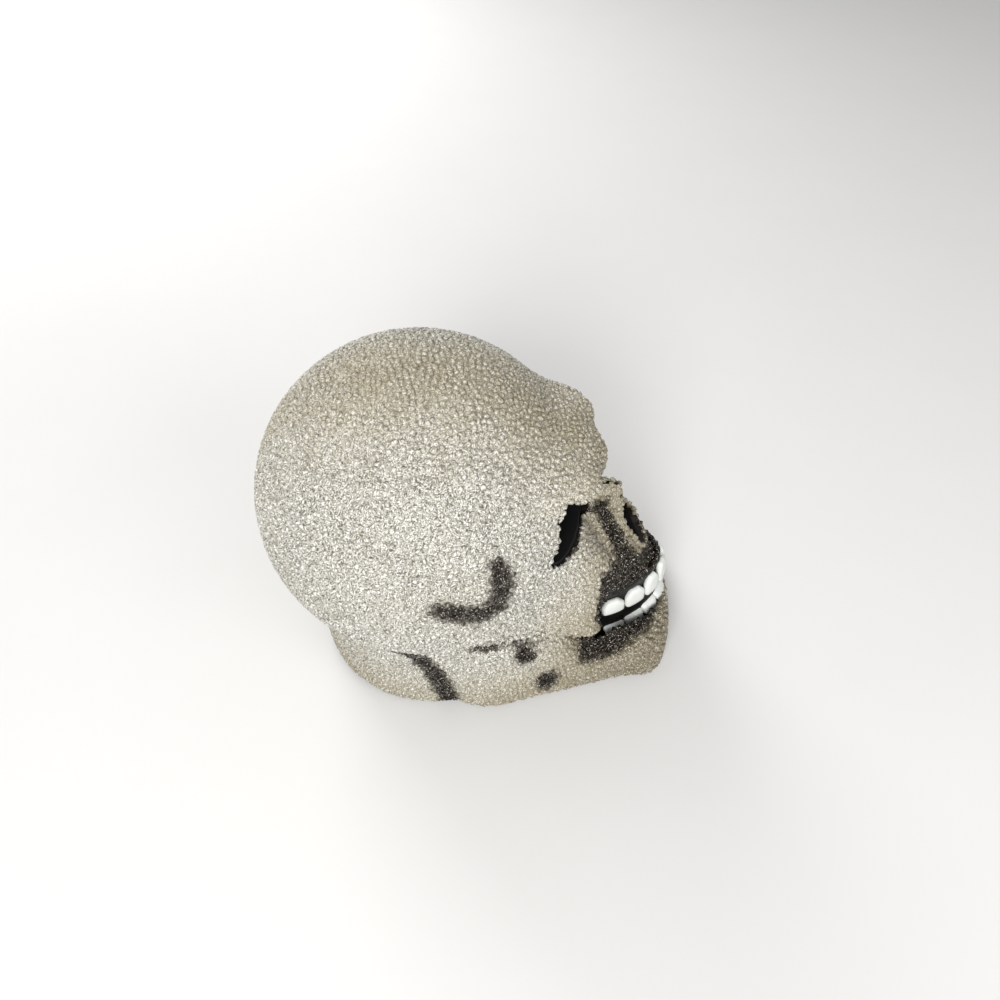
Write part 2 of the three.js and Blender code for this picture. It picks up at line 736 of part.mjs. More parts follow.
// Housing of the light unit: floor with flange, round wall, cell bay with a roof, bosses
function housingBody() {
  const floor = joined([drum(flangeRadius, 0, flangeThickness), drum(bodyRadius, 0, floorThickness)]);
  const ring = drum(bodyRadius, 0, bodyHeight)
    .subtract(drum(bodyRadius - bodyWall, -overrun, bodyHeight + overrun));
  const bayHollow = block(-bayX, bayX, -bayY, bayY, floorThickness, bayRoof);
  const bay = blockAbout(0, bayX + bayWall, 0, bayY + bayWall, 0, bayRoof + bayWall)
    .intersect(drum(bodyRadius, 0, bodyHeight))
    .subtract(bayHollow);
  const bosses = coverScrewPlaces.map(([x, y]) => drum(bossRadius, 0, housingBossTop, x, y, smallSides));
  const doorBoss = drum(bossRadius, doorThickness + clearance, bayRoof, tongueX, 0, smallSides)
    .subtract(bayHollow);
  const stops = [-1, 1].map((way) => {
    const stopX = switchX + way * (switchLength / 2 + clearance + switchStop / 2);
    return blockAbout(stopX, switchStop / 2, switchY, switchWidth / 2, 0, floorThickness + switchHeight);
  });
  const whole = joined([floor, ring, bay, doorBoss, ...bosses, ...stops]);
  const tongueRoom = tongueWidth / 2 + clearance;
  const doorRoomTop = floorThickness + clearance;
  const headRoomTop = screwSink + coverScrew.headHeight + clearance;
  const pinRoom = trunnionRadius + clearance;
  const knobRoom = knobWidth / 2 + clearance;
  return cutBy(whole, [
    block(hingeX - hingeRadius - clearance, doorX1 + clearance, -openY, openY, -overrun, doorRoomTop),
    block(0, tongueX1 + clearance, -tongueRoom, tongueRoom, -overrun, doorThickness + clearance),
    blockAbout(hingeX, pinRoom, 0, openY + trunnionLength, notchZ, floorThickness + overrun),
    block(slotX0, slotX1, switchY - knobRoom, switchY + knobRoom, -overrun, floorThickness + overrun),
    ...coverScrewPlaces.flatMap(([x, y]) => [
      drum(coverScrew.shank + clearance, -overrun, housingBossTop + overrun, x, y, smallSides),
      drum(coverScrew.head + clearance, -overrun, headRoomTop, x, y, smallSides),
    ]),
    drum(doorScrew.shank + clearance, 0, bayRoof - bayWall, tongueX, 0, smallSides),
    ...tabSlots(),
  ]);
}

// A cell along +X from its flat end at zero to the nub
function cellBody() {
  const can = cellLength - nubLength;
  const geometry = turned([
    [0, 0],
    [cellRadius - cellEdge, 0],
    [cellRadius, cellEdge],
    [cellRadius, can - cellEdge],
    [cellRadius - cellEdge, can],
    [nubRadius, can],
    [nubRadius, cellLength],
    [0, cellLength],
  ], smallSides);
  geometry.rotateY(Math.PI / 2);
  return geometry;
}

// Slots in the bay's roof that the solder tabs come up through
function tabSlots() {
  const halfThick = contactThickness / 2 + clearance;
  return tabPlaces.map(({ x, y }) => {
    const middle = x - Math.sign(x) * halfThick;
    const halfWide = tabWidth / 2 + clearance;
    return blockAbout(middle, halfThick, y, halfWide, bayRoof - overrun, bayRoof + bayWall + overrun);
  });
}

// Path of a coil spring along X from the plate towards its cell, with a straight lead at each end
function springPath() {
  const lead = 2 * springWireRadius;
  const coiled = springLength - 2 * lead;
  const steps = springCurls * curlSteps;
  const path = [new THREE.Vector3(0, springRadius, 0)];
  for (let i = 0; i <= steps; i += 1) {
    const angle = 2 * Math.PI * i / curlSteps;
    const x = lead + coiled * i / steps;
    path.push(new THREE.Vector3(x, springRadius * Math.cos(angle), springRadius * Math.sin(angle)));
  }
  path.push(new THREE.Vector3(springLength, springRadius, 0));
  return path;
}

// Least gap of a spring to itself, between the points of its path that are half a curl or more apart
function springGap() {
  const path = springPath();
  let least = springLength;
  for (let i = 0; i < path.length; i += 1) {
    for (let j = i + curlSteps / 2; j < path.length; j += 1) {
      least = Math.min(least, path[i].distanceTo(path[j]) - 2 * springWireRadius);
    }
  }
  return least;
}
console.log(`spring: least gap to itself ${springGap().toFixed(2)} mm`);

// A spring as one unbroken tube along its path
function springGeometry(way) {
  const path = springPath();
  const ahead = new THREE.Vector3(1, 0, 0);
  const rings = path.map((point, i) => {
    const before = path[Math.max(i - 1, 0)];
    const after = path[Math.min(i + 1, path.length - 1)];
    const atEnd = i === 0 || i === path.length - 1;
    const heading = atEnd ? ahead : after.clone().sub(before).normalize();
    const out = new THREE.Vector3(0, point.y, point.z).normalize();
    const up = new THREE.Vector3().crossVectors(heading, out).normalize();
    const level = new THREE.Vector3().crossVectors(up, heading);
    return Array.from({ length: curlSides }, (_, k) => {
      const angle = 2 * Math.PI * k / curlSides;
      return point.clone()
        .addScaledVector(level, springWireRadius * Math.cos(angle))
        .addScaledVector(up, springWireRadius * Math.sin(angle));
    });
  });
  const positions = rings.flat().flatMap((p) => [p.x * way, p.y, p.z]);
  const faces = [];
  for (let i = 0; i + 1 < rings.length; i += 1) {
    for (let k = 0; k < curlSides; k += 1) {
      const a = i * curlSides + k;
      const b = i * curlSides + (k + 1) % curlSides;
      faces.push([a, b, b + curlSides], [a, b + curlSides, a + curlSides]);
    }
  }
  const last = (rings.length - 1) * curlSides;
  for (let k = 1; k + 1 < curlSides; k += 1) {
    faces.push([0, k + 1, k], [last, last + k, last + k + 1]);
  }
  const geometry = new THREE.BufferGeometry();
  geometry.setAttribute('position', new THREE.Float32BufferAttribute(positions, 3));
  geometry.setIndex(faces.flatMap(([a, b, c]) => (way > 0 ? [a, b, c] : [a, c, b])));
  return geometry;
}

// Contact strip at one end of the bay, across the cells named, with a spring for each flat end
function contactBody(end, first, last, tab) {
  const inward = -end;
  const middleX = end * (bayX - clearance - contactThickness / 2);
  const halfThick = contactThickness / 2;
  const middleY = (cells[first].y + cells[last].y) / 2;
  const halfWide = (cells[last].y - cells[first].y) / 2 + contactHalfWidth;
  const bottom = cellZ - contactHeight / 2;
  const parts = [blockAbout(middleX, halfThick, middleY, halfWide, bottom, bottom + contactHeight)];
  if (tab !== undefined) {
    parts.push(blockAbout(middleX, halfThick, cells[tab].y, tabWidth / 2, bottom, tabTop));
  }
  for (let i = first; i <= last; i += 1) {
    if (cells[i].way === inward) {
      const coil = springGeometry(inward);
      coil.translate(middleX, cells[i].y, cellZ);
      parts.push(solid(coil));
    }
  }
  return joined(parts);
}

// Door plate with its round hinge edge, its trunnions and its tongue
function doorBody() {
  const half = doorWidth / 2;
  const edge = new THREE.CylinderGeometry(hingeRadius, hingeRadius, doorWidth, smallSides);
  edge.translate(hingeX, 0, hingeZ);
  const pinLength = doorWidth + 2 * trunnionLength;
  const pins = new THREE.CylinderGeometry(trunnionRadius, trunnionRadius, pinLength, smallSides);
  pins.translate(hingeX, 0, hingeZ);
  const headRoomTop = screwSink + doorScrew.headHeight + clearance / 2;
  const whole = joined([
    block(hingeX, doorX1, -half, half, 0, doorThickness),
    block(0, tongueX1, -tongueWidth / 2, tongueWidth / 2, 0, doorThickness),
    solid(edge),
    solid(pins),
  ]);
  return cutBy(whole, [
    drum(doorScrew.shank + clearance, -overrun, doorThickness + overrun, tongueX, 0, smallSides),
    drum(doorScrew.head + clearance, -overrun, headRoomTop, tongueX, 0, smallSides),
  ]);
}

// Switch case with a slot below for the knob, and the knob that slides in it
function switchCaseBody() {
  const top = switchZ + switchHeight;
  const whole = blockAbout(switchX, switchLength / 2, switchY, switchWidth / 2, switchZ, top);
  const knobRoom = knobWidth / 2 + clearance;
  const slotTop = knobTop + clearance;
  const slotZ = switchZ - overrun;
  return whole.subtract(block(slotX0, slotX1, switchY - knobRoom, switchY + knobRoom, slotZ, slotTop));
}

function knobBody() {
  return blockAbout(0, knobLength / 2, switchY, knobWidth / 2, -knobStandOut, knobTop);
}

// Cover of the light unit: disc, locating lip, screw bosses, board posts and the lens collar
function coverBody() {
  const spigot = bodyRadius - bodyWall - clearance;
  const lip = drum(spigot, coverZ - lipHeight, coverZ)
    .subtract(drum(spigot - lipWall, coverZ - lipHeight - overrun, coverTop));
  const bossBottom = housingBossTop + clearance;
  const bosses = coverScrewPlaces.map(([x, y]) =>
    drum(bossRadius, bossBottom, coverZ, x, y, smallSides).intersect(drum(spigot, 0, coverTop)));
  const postTop = coverTop + postHeight;
  const posts = [-1, 1].map((way) => drum(postRadius, coverZ, postTop, way * postX, 0, smallSides));
  const collarRadius = lensRadius + clearance + collarWall;
  const collar = drum(collarRadius, coverZ, coverTop + lensCollar)
    .subtract(drum(lensRadius + clearance, coverZ - overrun, coverTop + lensCollar + overrun));
  const screwEnd = screwSink + coverScrew.headHeight + coverScrew.length + clearance;
  const postEnd = postTop + boardThickness - boardScrew.length;
  const shankRoom = coverScrew.shank + clearance;
  const boardShankRoom = boardScrew.shank + clearance;
  const holeZ = [coverZ - overrun, coverTop + overrun];
  return cutBy(joined([drum(bodyRadius, coverZ, coverTop), lip, collar, ...bosses, ...posts]), [
    ...coverScrewPlaces.map(([x, y]) => drum(shankRoom, 0, screwEnd, x, y, smallSides)),
    ...[-1, 1].map((way) => drum(boardShankRoom, postEnd, postTop + overrun, way * postX, 0, smallSides)),
    ...wireHoles.map(([x, y]) => drum(wireHoleRadius, ...holeZ, x, y, smallSides)),
  ]);
}

// Milky dome over the lamps, a half ball with a half ball taken out of it
function lensBody() {
  const steps = 7;
  const inner = lensRadius - lensWall;
  const outside = [];
  const inside = [];
  for (let i = 0; i < steps; i += 1) {
    const angle = Math.PI / 2 * i / steps;
    outside.push([lensRadius * Math.cos(angle), lensRadius * Math.sin(angle)]);
    inside.unshift([inner * Math.cos(angle), inner * Math.sin(angle)]);
  }
  return solid(turned([...outside, [0, lensRadius], [0, inner], ...inside, outside[0]]));
}

function boardBody() {
  return cutBy(drum(boardRadius, 0, boardThickness), [-1, 1].map((way) =>
    drum(boardScrew.shank + clearance, -overrun, boardThickness + overrun, way * postX, 0, smallSides)));
}

function lampBody() {
  const shoulder = lampHeight - lampRadius;
  return turned([
    [0, 0],
    [lampFlangeRadius, 0],
    [lampFlangeRadius, lampFlange],
    [lampRadius, lampFlange],
    [lampRadius, shoulder],
    [lampRadius * Math.cos(Math.PI / 6), shoulder + lampRadius * Math.sin(Math.PI / 6)],
    [lampRadius * Math.cos(Math.PI / 3), shoulder + lampRadius * Math.sin(Math.PI / 3)],
    [0, lampHeight],
  ], smallSides);
}

// Resistor lying along X, a little fatter at its ends
function resistorBody() {
  const half = resistorLength / 2;
  const neck = resistorRadius * 0.8;
  const geometry = turned([
    [0, -half],
    [resistorRadius, -half],
    [resistorRadius, -half / 2],
    [neck, -half / 4],
    [neck, half / 4],
    [resistorRadius, half / 2],
    [resistorRadius, half],
    [0, half],
  ], smallSides);
  geometry.rotateY(Math.PI / 2);
  return geometry;
}

// Wire along points chosen by hand
function wireGeometry(points) {
  const path = new THREE.CatmullRomCurve3(points.map((p) => new THREE.Vector3(...p)), false, 'centripetal');
  const section = new THREE.Shape(Array.from({ length: wireSides }, (_, k) => {
    const angle = 2 * Math.PI * k / wireSides;
    return new THREE.Vector2(wireRadius * Math.cos(angle), wireRadius * Math.sin(angle));
  }));
  const steps = Math.round(path.getLength() / (wireRadius * 4));
  return new THREE.ExtrudeGeometry(section, { steps, extrudePath: path, bevelEnabled: false });
}

// The assembly
const skull = new THREE.Group();
const rimForm = skullForm(linerSetback, rimDetail);
skull.add(named('skull_shell', shellBody(), granules));
const cupFloor = socketFloor + clearance;
const leftCup = liner(socketOutline, turn(socketTurn), cupFloor, rimForm);
const rightCup = liner(socketOutline, turn(socketTurn), cupFloor, rimForm, -1);
skull.add(named('eye_liner_left', leftCup, blackPlastic));
skull.add(named('eye_liner_right', rightCup, blackPlastic));
const noseCup = liner(nostrilOutline, 0, nostrilFloorX + clearance, skullForm(noseLinerSetback, rimDetail));
skull.add(named('nose_liner', noseCup, blackPlastic));
const gumFront = toothDepth + clearance;
const gum = archBand(gumFront, gumFront + gumDepth, gumHalfWidth, gumBottom, gumTop);
skull.add(named('mouth_liner', gum, gumBlack));
skull.add(named('upper_teeth', toothRow(upperTeeth), toothWhite));
skull.add(named('lower_teeth', toothRow(lowerTeeth), toothWhite));

const unit = new THREE.Group();
unit.position.set(unitX, 0, baseRecess);
skull.add(unit);
unit.add(named('light_housing', housingBody(), housingWhite));
unit.add(named('battery_door', doorBody(), housingWhite));
const doorFastener = named('door_screw', screwBody(doorScrew), steel);
doorFastener.position.set(tongueX, 0, screwSink);
unit.add(doorFastener);

cells.forEach(({ way, y, start }, i) => {
  const cell = named(`battery_${i + 1}`, cellBody(), cellJacket);
  cell.position.set(start, y, cellZ);
  cell.rotation.z = way > 0 ? 0 : Math.PI;
  unit.add(cell);
});

unit.add(named('contact_negative', contactBody(-1, 0, 0, 0), nickel));
unit.add(named('contact_link_front', contactBody(1, 0, 1), nickel));
unit.add(named('contact_link_back', contactBody(-1, 1, 2), nickel));
unit.add(named('contact_positive', contactBody(1, 2, 2, 2), nickel));

unit.add(named('switch_case', switchCaseBody(), steel));
unit.add(named('switch_knob', knobBody(), chipBlack));

unit.add(named('light_cover', coverBody(), housingWhite));
coverScrewPlaces.forEach(([x, y], i) => {
  const screw = named(`cover_screw_${i + 1}`, screwBody(coverScrew), steel);
  screw.position.set(x, y, screwSink);
  unit.add(screw);
});

const lens = named('lens_dome', lensBody(), lensMilk);
lens.position.z = coverTop + clearance;
unit.add(lens);

const board = new THREE.Group();
board.position.z = boardZ;
unit.add(board);
board.add(named('circuit_board', boardBody(), boardGreen));
for (let i = 0; i < lampCount; i += 1) {
  const angle = 2 * Math.PI * (i + 0.25) / lampCount;
  const lamp = named(`lamp_${i + 1}`, lampBody(), lampClear);
  lamp.position.set(lampCircle * Math.cos(angle), lampCircle * Math.sin(angle), boardThickness + clearance);
  board.add(lamp);
}
const chip = named('control_chip', blockAbout(0, chipSize / 2, 0, chipSize / 2, 0, chipHeight), chipBlack);
chip.position.z = boardThickness + clearance;
board.add(chip);
const resistor = named('resistor', resistorBody(), resistorTan);
resistor.position.set(0, resistorY, boardThickness + clearance + resistorRadius);
board.add(resistor);
[-1, 1].forEach((way, i) => {
  const screw = named(`board_screw_${i + 1}`, screwBody(boardScrew), steel);
  screw.position.set(way * postX, 0, boardThickness + clearance + boardScrew.headHeight);
  screw.rotation.x = Math.PI;
  board.add(screw);
});

// Wires run from the tabs and the switch, over the bay's roof and up through the cover to the board
const tabX = bayX - clearance - contactThickness / 2;
const wireStart = tabTop + clearance;
const wireEnd = boardZ - clearance;
const switchTop = switchZ + switchHeight + clearance;
const climb = ([x, y]) => [[x, y, coverZ], [x, y, coverTop], [x, y, wireEnd]];
unit.add(named('wire_red', wireGeometry([
  [tabX, cells[cellCount - 1].y, wireStart],
  ...redRoute,
  ...climb(wireHoles[1]),
]), redWire));
unit.add(named('wire_black', wireGeometry([
  [-tabX, cells[0].y, wireStart],
  ...blackRoute,
  [blackTerminalX, switchY, switchTop],
]), blackWire));
unit.add(named('wire_white', wireGeometry([
  [whiteTerminalX, switchY, switchTop],
  ...whiteRoute,
  ...climb(wireHoles[2]),
]), whiteWire));

export default skull;
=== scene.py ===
"""Light-up skull of fused clear granules: its looks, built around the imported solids.

Every size in the classes is in millimetres, and meshes are turned into metres as they are made.
The table is Z = 0 and the face looks along +X.
"""

import sys
import itertools
import logging
import math
import random
from collections.abc import Iterable
from dataclasses import dataclass, field
from enum import Enum

import bmesh
import bpy
import numpy as np
from mathutils import Matrix, Vector


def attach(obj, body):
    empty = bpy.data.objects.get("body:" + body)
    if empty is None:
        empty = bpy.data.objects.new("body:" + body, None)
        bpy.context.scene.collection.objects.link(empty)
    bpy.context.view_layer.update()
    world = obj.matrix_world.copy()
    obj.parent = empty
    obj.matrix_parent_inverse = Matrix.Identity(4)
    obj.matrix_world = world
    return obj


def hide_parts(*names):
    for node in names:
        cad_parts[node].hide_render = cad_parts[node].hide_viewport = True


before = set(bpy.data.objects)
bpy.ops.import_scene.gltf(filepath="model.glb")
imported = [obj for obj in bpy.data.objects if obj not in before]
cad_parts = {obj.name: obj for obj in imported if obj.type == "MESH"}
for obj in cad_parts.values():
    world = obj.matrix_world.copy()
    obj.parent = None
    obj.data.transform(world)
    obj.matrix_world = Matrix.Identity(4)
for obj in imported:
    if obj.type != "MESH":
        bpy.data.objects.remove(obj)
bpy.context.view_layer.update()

LOG = logging.getLogger("skull")
MM = 0.001
ROOT_BODY = "skull"

Pair = tuple[float, float]
Triple = tuple[float, float, float]
Array = np.ndarray
BMesh = bmesh.types.BMesh
Piece = bpy.types.Object
Socket = bpy.types.NodeSocket


# Finishes


def linear(colour: int) -> tuple[float, float, float, float]:
    """Colour for a shader from a hex value as seen on screen."""
    parts = [(colour >> shift & 255) / 255 for shift in (16, 8, 0)]
    return (*(c / 12.92 if c <= 0.04045 else ((c + 0.055) / 1.055) ** 2.4 for c in parts), 1.0)


class Nodes:
    """A node tree, with short ways to add, link and set its nodes."""

    def __init__(self, tree: bpy.types.NodeTree) -> None:
        """Takes up a tree.

        Args:
            tree: Where the nodes go.
        """
        self.tree = tree

    def add(self, kind: str, **settings: object) -> bpy.types.Node:
        """Adds a node and sets its named properties."""
        node = self.tree.nodes.new(kind)
        for name, value in settings.items():
            setattr(node, name, value)
        return node

    def feed(self, sockets: Iterable[Socket], values: Iterable[object]) -> None:
        """Fills inputs one by one: a socket is linked, and anything else is set."""
        for socket, value in zip(sockets, values):
            if isinstance(value, Socket):
                self.tree.links.new(value, socket)
            else:
                socket.default_value = value

    def put(self, node: bpy.types.Node, **values: object) -> bpy.types.Node:
        """Fills a node's inputs.

        Args:
            node: The node.
            **values: Input names, with underscores for spaces, and what goes in.

        Returns:
            The same node.
        """
        self.feed([node.inputs[name.replace("_", " ")] for name in values], values.values())
        return node

    def math(self, operation: str, first: object, second: object = 0.0) -> Socket:
        """Result of a sum on two values."""
        node = self.add("ShaderNodeMath", operation=operation)
        self.feed(node.inputs, (first, second))
        return node.outputs["Value"]

    def times(self, first: object, second: object) -> Socket:
        """Product of two values."""
        return self.math("MULTIPLY", first, second)

    def sees_white(self) -> Socket:
        """1 for the rays that see the studio as plain white, and 0 for those that light the object."""
        rays = self.add("ShaderNodeLightPath").outputs
        seen = rays["Is Camera Ray"]
        for kind in ("Is Glossy Ray", "Is Transmission Ray"):
            seen = self.math("MAXIMUM", seen, rays[kind])
        return seen


class NodeSheet(Nodes):
    """Nodes of one material, with its Principled shader at hand."""

    def __init__(self, name: str) -> None:
        """Starts a material.

        Args:
            name: The material's name.
        """
        self.material = bpy.data.materials.new(name)
        self.material.use_nodes = True
        super().__init__(self.material.node_tree)
        self.shader = self.tree.nodes["Principled BSDF"]
        self.place = self.add("ShaderNodeTexCoord").outputs["Object"]

    def noise(self, size: float, detail: float = 2.0, warp: float = 0.0) -> Socket:
        """Noise value with features of about the given size in millimetres."""
        node = self.put(self.add("ShaderNodeTexNoise"), Vector=self.place, Scale=1 / (size * MM))
        return self.put(node, Detail=detail, Distortion=warp).outputs["Fac"]

    def attribute(self, name: str, part: str = "Fac") -> Socket:
        """Value of a named attribute of the mesh."""
        return self.add("ShaderNodeAttribute", attribute_name=name).outputs[part]

    def ramp(self, value: Socket, low: float, high: float) -> Socket:
        """Value stretched from a range to 0 to 1, and held inside it."""
        node = self.put(self.add("ShaderNodeMapRange"), Value=value)
        return self.put(node, From_Min=low, From_Max=high).outputs["Result"]

    def around(self, value: Socket, middle: float, span: float) -> Socket:
        """Value of 0 to 1 turned into a span about a middle."""
        return self.math("ADD", self.times(value, span), middle - span / 2)

    def blend(self, share: object, first: object, second: object) -> Socket:
        """Colour between two colours.

        Args:
            share: Share of the second colour, a socket or a number.
            first: First colour, a socket or a value.
            second: Second colour, a socket or a value.

        Returns:
            The socket with the mixed colour.
        """
        node = self.add("ShaderNodeMix", data_type="RGBA")
        self.feed([node.inputs[k] for k in (0, 6, 7)], (share, first, second))
        return node.outputs[2]

    def bump(self, height: Socket, depth: float, strength: float = 1.0) -> None:
        """Leads a height to the shader's normal.

        Args:
            height: The height, 0 to 1.
            depth: How deep 1 is, in millimetres.
            strength: Share of the effect.
        """
        node = self.put(self.add("ShaderNodeBump"), Height=height, Distance=depth * MM, Strength=strength)
        self.put(self.shader, Normal=node.outputs["Normal"])


@dataclass(frozen=True)
class Moulded:
    """Moulded plastic: two close shades, a fine grain and a gloss that varies a little."""

    name: str
    colour: int
    shade: int
    roughness: float = 0.45
    grain: float = 0.5
    relief: float = 0.02
    specular: float = 0.5

    def material(self) -> bpy.types.Material:
        """The finish as a material."""
        sheet = NodeSheet(self.name)
        cloud = sheet.ramp(sheet.noise(self.grain * 14, 3), 0.35, 0.65)
        grain = sheet.noise(self.grain, 2)
        colour = sheet.blend(cloud, linear(self.colour), linear(self.shade))
        rough = sheet.around(grain, self.roughness, 0.12)
        sheet.put(sheet.shader, Base_Color=colour, Roughness=rough, Specular_IOR_Level=self.specular)
        sheet.bump(grain, self.relief)
        return sheet.material


@dataclass(frozen=True)
class Metal:
    """Plated metal with fine rubbed marks."""

    name: str
    colour: int
    shade: int
    roughness: float = 0.3

    def material(self) -> bpy.types.Material:
        """The finish as a material."""
        sheet = NodeSheet(self.name)
        marks = sheet.noise(0.35, 3, 1.5)
        colour = sheet.blend(sheet.ramp(marks, 0.3, 0.7), linear(self.colour), linear(self.shade))
        rough = sheet.around(marks, self.roughness, 0.2)
        sheet.put(sheet.shader, Base_Color=colour, Roughness=rough, Metallic=1.0)
        sheet.bump(marks, 0.01)
        return sheet.material


@dataclass(frozen=True)
class Granules:
    """Fused clear granules: painted highlight and shade strokes inside each granule, sprayed black paint, and
    painted shade that grows away from the lit middle of each side.

    The mesh carries three attributes: "tint" is a granule's own shade, and low on the skin to paint shade into
    the gaps between granules, "paint_and_shade" its share of sprayed paint and of painted crease shade, and
    "grain" the place inside it in millimetres, turned its own way, so that each granule's strokes run on their
    own.
    """

    name: str = "fused_granules"
    pale: int = 0xCCC9BF
    # The darker end of the granules' own tone, which the skin between granules takes as painted shade in the
    # gaps.
    dim_and_gap_shade: int = 0xB3B0A4
    # Tinted and deep painted shade, laid on away from the lit middle of each side.
    warm_shade: int = 0xB3A98F
    deep: int = 0x857B63
    # Colours of the painted refraction shade and painted highlight strokes inside each granule.
    painted_shade_stroke: int = 0x605B52
    painted_highlight_stroke: int = 0xFBFAF5
    paint: int = 0x100B07
    stain: int = 0x3E3327
    # Colour of the painted glints on the sprayed paint.
    painted_glint: int = 0xEFE8D8
    # Lit middle and reaches of the painted shade, which grows more slowly behind it.
    unshaded_middle: Triple = (-20.0, 58.0, 80.0)
    shorten_behind: float = 0.55
    warm_shade_from: float = 46.0
    warm_shade_to: float = 84.0
    deep_shade_from: float = 62.0
    deep_shade_to: float = 112.0
    cloud_size: float = 22.0
    cloud_span: float = 0.9
    warm_shade_strength: float = 0.9
    stroke_length: float = 1.5
    stroke_width: float = 0.42
    stroke_softness: float = 0.6
    stroke_strength: float = 0.86
    # The strokes fade where the tinted painted shade lies.
    stroke_loss: float = 0.44
    # Ranges of the stroke noise for the painted shade strokes, painted highlight strokes and painted glints.
    shade_stroke_range: Pair = (0.45, 0.37)
    highlight_stroke_range: Pair = (0.55, 0.62)
    glint_range: Pair = (0.64, 0.7)
    glint_strength: float = 0.62
    blot_size: float = 2.0
    blot_span: float = 1.2
    blot_tint: float = 0.3
    stain_range: Pair = (0.05, 0.6)
    stain_strength: float = 0.72
    paint_range: Pair = (0.3, 0.9)
    paint_strength: float = 0.94
    roughness: float = 0.3
    ior: float = 1.49
    specular: float = 0.14
    relief: float = 0.16

    def strokes(self, sheet: NodeSheet) -> Socket:
        """Noise drawn out along one way of each granule, for its painted highlight and shade strokes."""
        stretch = sheet.add("ShaderNodeVectorMath", operation="MULTIPLY")
        across = 1 / self.stroke_width
        scale = (1 / self.stroke_length, across, across)
        sheet.feed(stretch.inputs, (sheet.attribute("grain", "Vector"), scale))
        node = sheet.put(sheet.add("ShaderNodeTexNoise"), Vector=stretch.outputs[0], Scale=1.0)
        return sheet.put(node, Detail=self.stroke_softness, Roughness=self.stroke_softness).outputs["Fac"]

    def painted_shade(self, sheet: NodeSheet) -> tuple[Socket, Socket]:
        """Shares of the tinted and of the deep painted shade, which grow away from the lit middle of each side.
        """
        part = sheet.put(sheet.add("ShaderNodeSeparateXYZ"), Vector=sheet.place).outputs
        side = sheet.math("ABSOLUTE", part["Y"])
        away = [sheet.math("SUBTRACT", value, middle * MM)
                for value, middle in zip((part["X"], side, part["Z"]), self.unshaded_middle)]
        away[0] = sheet.math("MAXIMUM", away[0], sheet.times(away[0], self.shorten_behind))
        squares = [sheet.times(value, value) for value in away]
        reach = sheet.math("SQRT", sheet.math("ADD", sheet.math("ADD", squares[0], squares[1]), squares[2]))
        cloud = sheet.times(sheet.math("SUBTRACT", sheet.noise(self.cloud_size, 3), 0.5), self.cloud_span)
        share = sheet.ramp(reach, self.warm_shade_from * MM, self.warm_shade_to * MM)
        deep = sheet.ramp(reach, self.deep_shade_from * MM, self.deep_shade_to * MM)
        return sheet.ramp(sheet.math("ADD", share, cloud), 0.0, 1.0), deep

    def sprayed(self, sheet: NodeSheet, paint_and_shade: Socket, tint: Socket) -> Socket:
        """Share of sprayed paint and painted crease shade with an uneven edge, from the mesh's own share and
        each granule's shade.
        """
        blot = sheet.times(sheet.math("SUBTRACT", sheet.noise(self.blot_size, 3), 0.5), self.blot_span)
        blot = sheet.math("ADD", blot, sheet.times(sheet.math("SUBTRACT", tint, 0.5), self.blot_tint))
        return sheet.math("ADD", paint_and_shade, sheet.times(blot, sheet.ramp(paint_and_shade, 0.0, 0.3)))

    def material(self) -> bpy.types.Material:
        """The finish as a material: its painted shade, painted highlight and shade strokes, paint and painted
        glints are laid over one another in turn.
        """
        sheet = NodeSheet(self.name)
        tint, paint_and_shade, stroke = sheet.attribute("tint"), sheet.attribute("paint_and_shade"), self.strokes(sheet)
        painted_shade, deep = self.painted_shade(sheet)
        # The strokes fade under the tinted painted shade.
        clear = sheet.math("SUBTRACT", self.stroke_strength, sheet.times(painted_shade, self.stroke_loss))
        spread = self.sprayed(sheet, paint_and_shade, tint)
        glint = sheet.times(sheet.ramp(stroke, *self.glint_range), sheet.ramp(paint_and_shade, 0.0, 0.15))
        layers = (
            # Tinted and deep painted shade.
            (painted_shade, self.warm_shade_strength, self.warm_shade),
            (deep, 1.0, self.deep),
            # Painted refraction shade and highlight strokes.
            (sheet.ramp(stroke, *self.shade_stroke_range), clear, self.painted_shade_stroke),
            (sheet.ramp(stroke, *self.highlight_stroke_range), clear, self.painted_highlight_stroke),
            (sheet.ramp(spread, *self.stain_range), self.stain_strength, self.stain),
            (sheet.ramp(spread, *self.paint_range), self.paint_strength, self.paint),
            # Painted glints on the sprayed paint, left off the deep black walls.
            (sheet.times(glint, sheet.ramp(paint_and_shade, 1.5, 1.2)), self.glint_strength, self.painted_glint),
        )
        colour = sheet.blend(tint, linear(self.dim_and_gap_shade), linear(self.pale))
        for share, strength, shade in layers:
            colour = sheet.blend(sheet.times(share, strength), colour, linear(shade))
        sheet.put(sheet.shader, Base_Color=colour, Roughness=self.roughness, IOR=self.ior)
        sheet.put(sheet.shader, Specular_IOR_Level=self.specular)
        sheet.bump(stroke, self.relief, 0.6)
        return sheet.material


@dataclass(frozen=True)
class Clear:
    """Clear or milky resin that lets some light through."""

    name: str
    colour: int
    through: float
    roughness: float = 0.2

    def material(self) -> bpy.types.Material:
        """The finish as a material."""
        sheet = NodeSheet(self.name)
        cloud = sheet.noise(3.0, 3)
        colour = sheet.blend(cloud, linear(self.colour), linear(0xFFFFFF))
        rough = sheet.math("ADD", sheet.times(cloud, 0.1), self.roughness)
        sheet.put(sheet.shader, Base_Color=colour, Roughness=rough, Transmission_Weight=self.through)
        sheet.bump(sheet.noise(0.8, 2), 0.02)
        return sheet.material


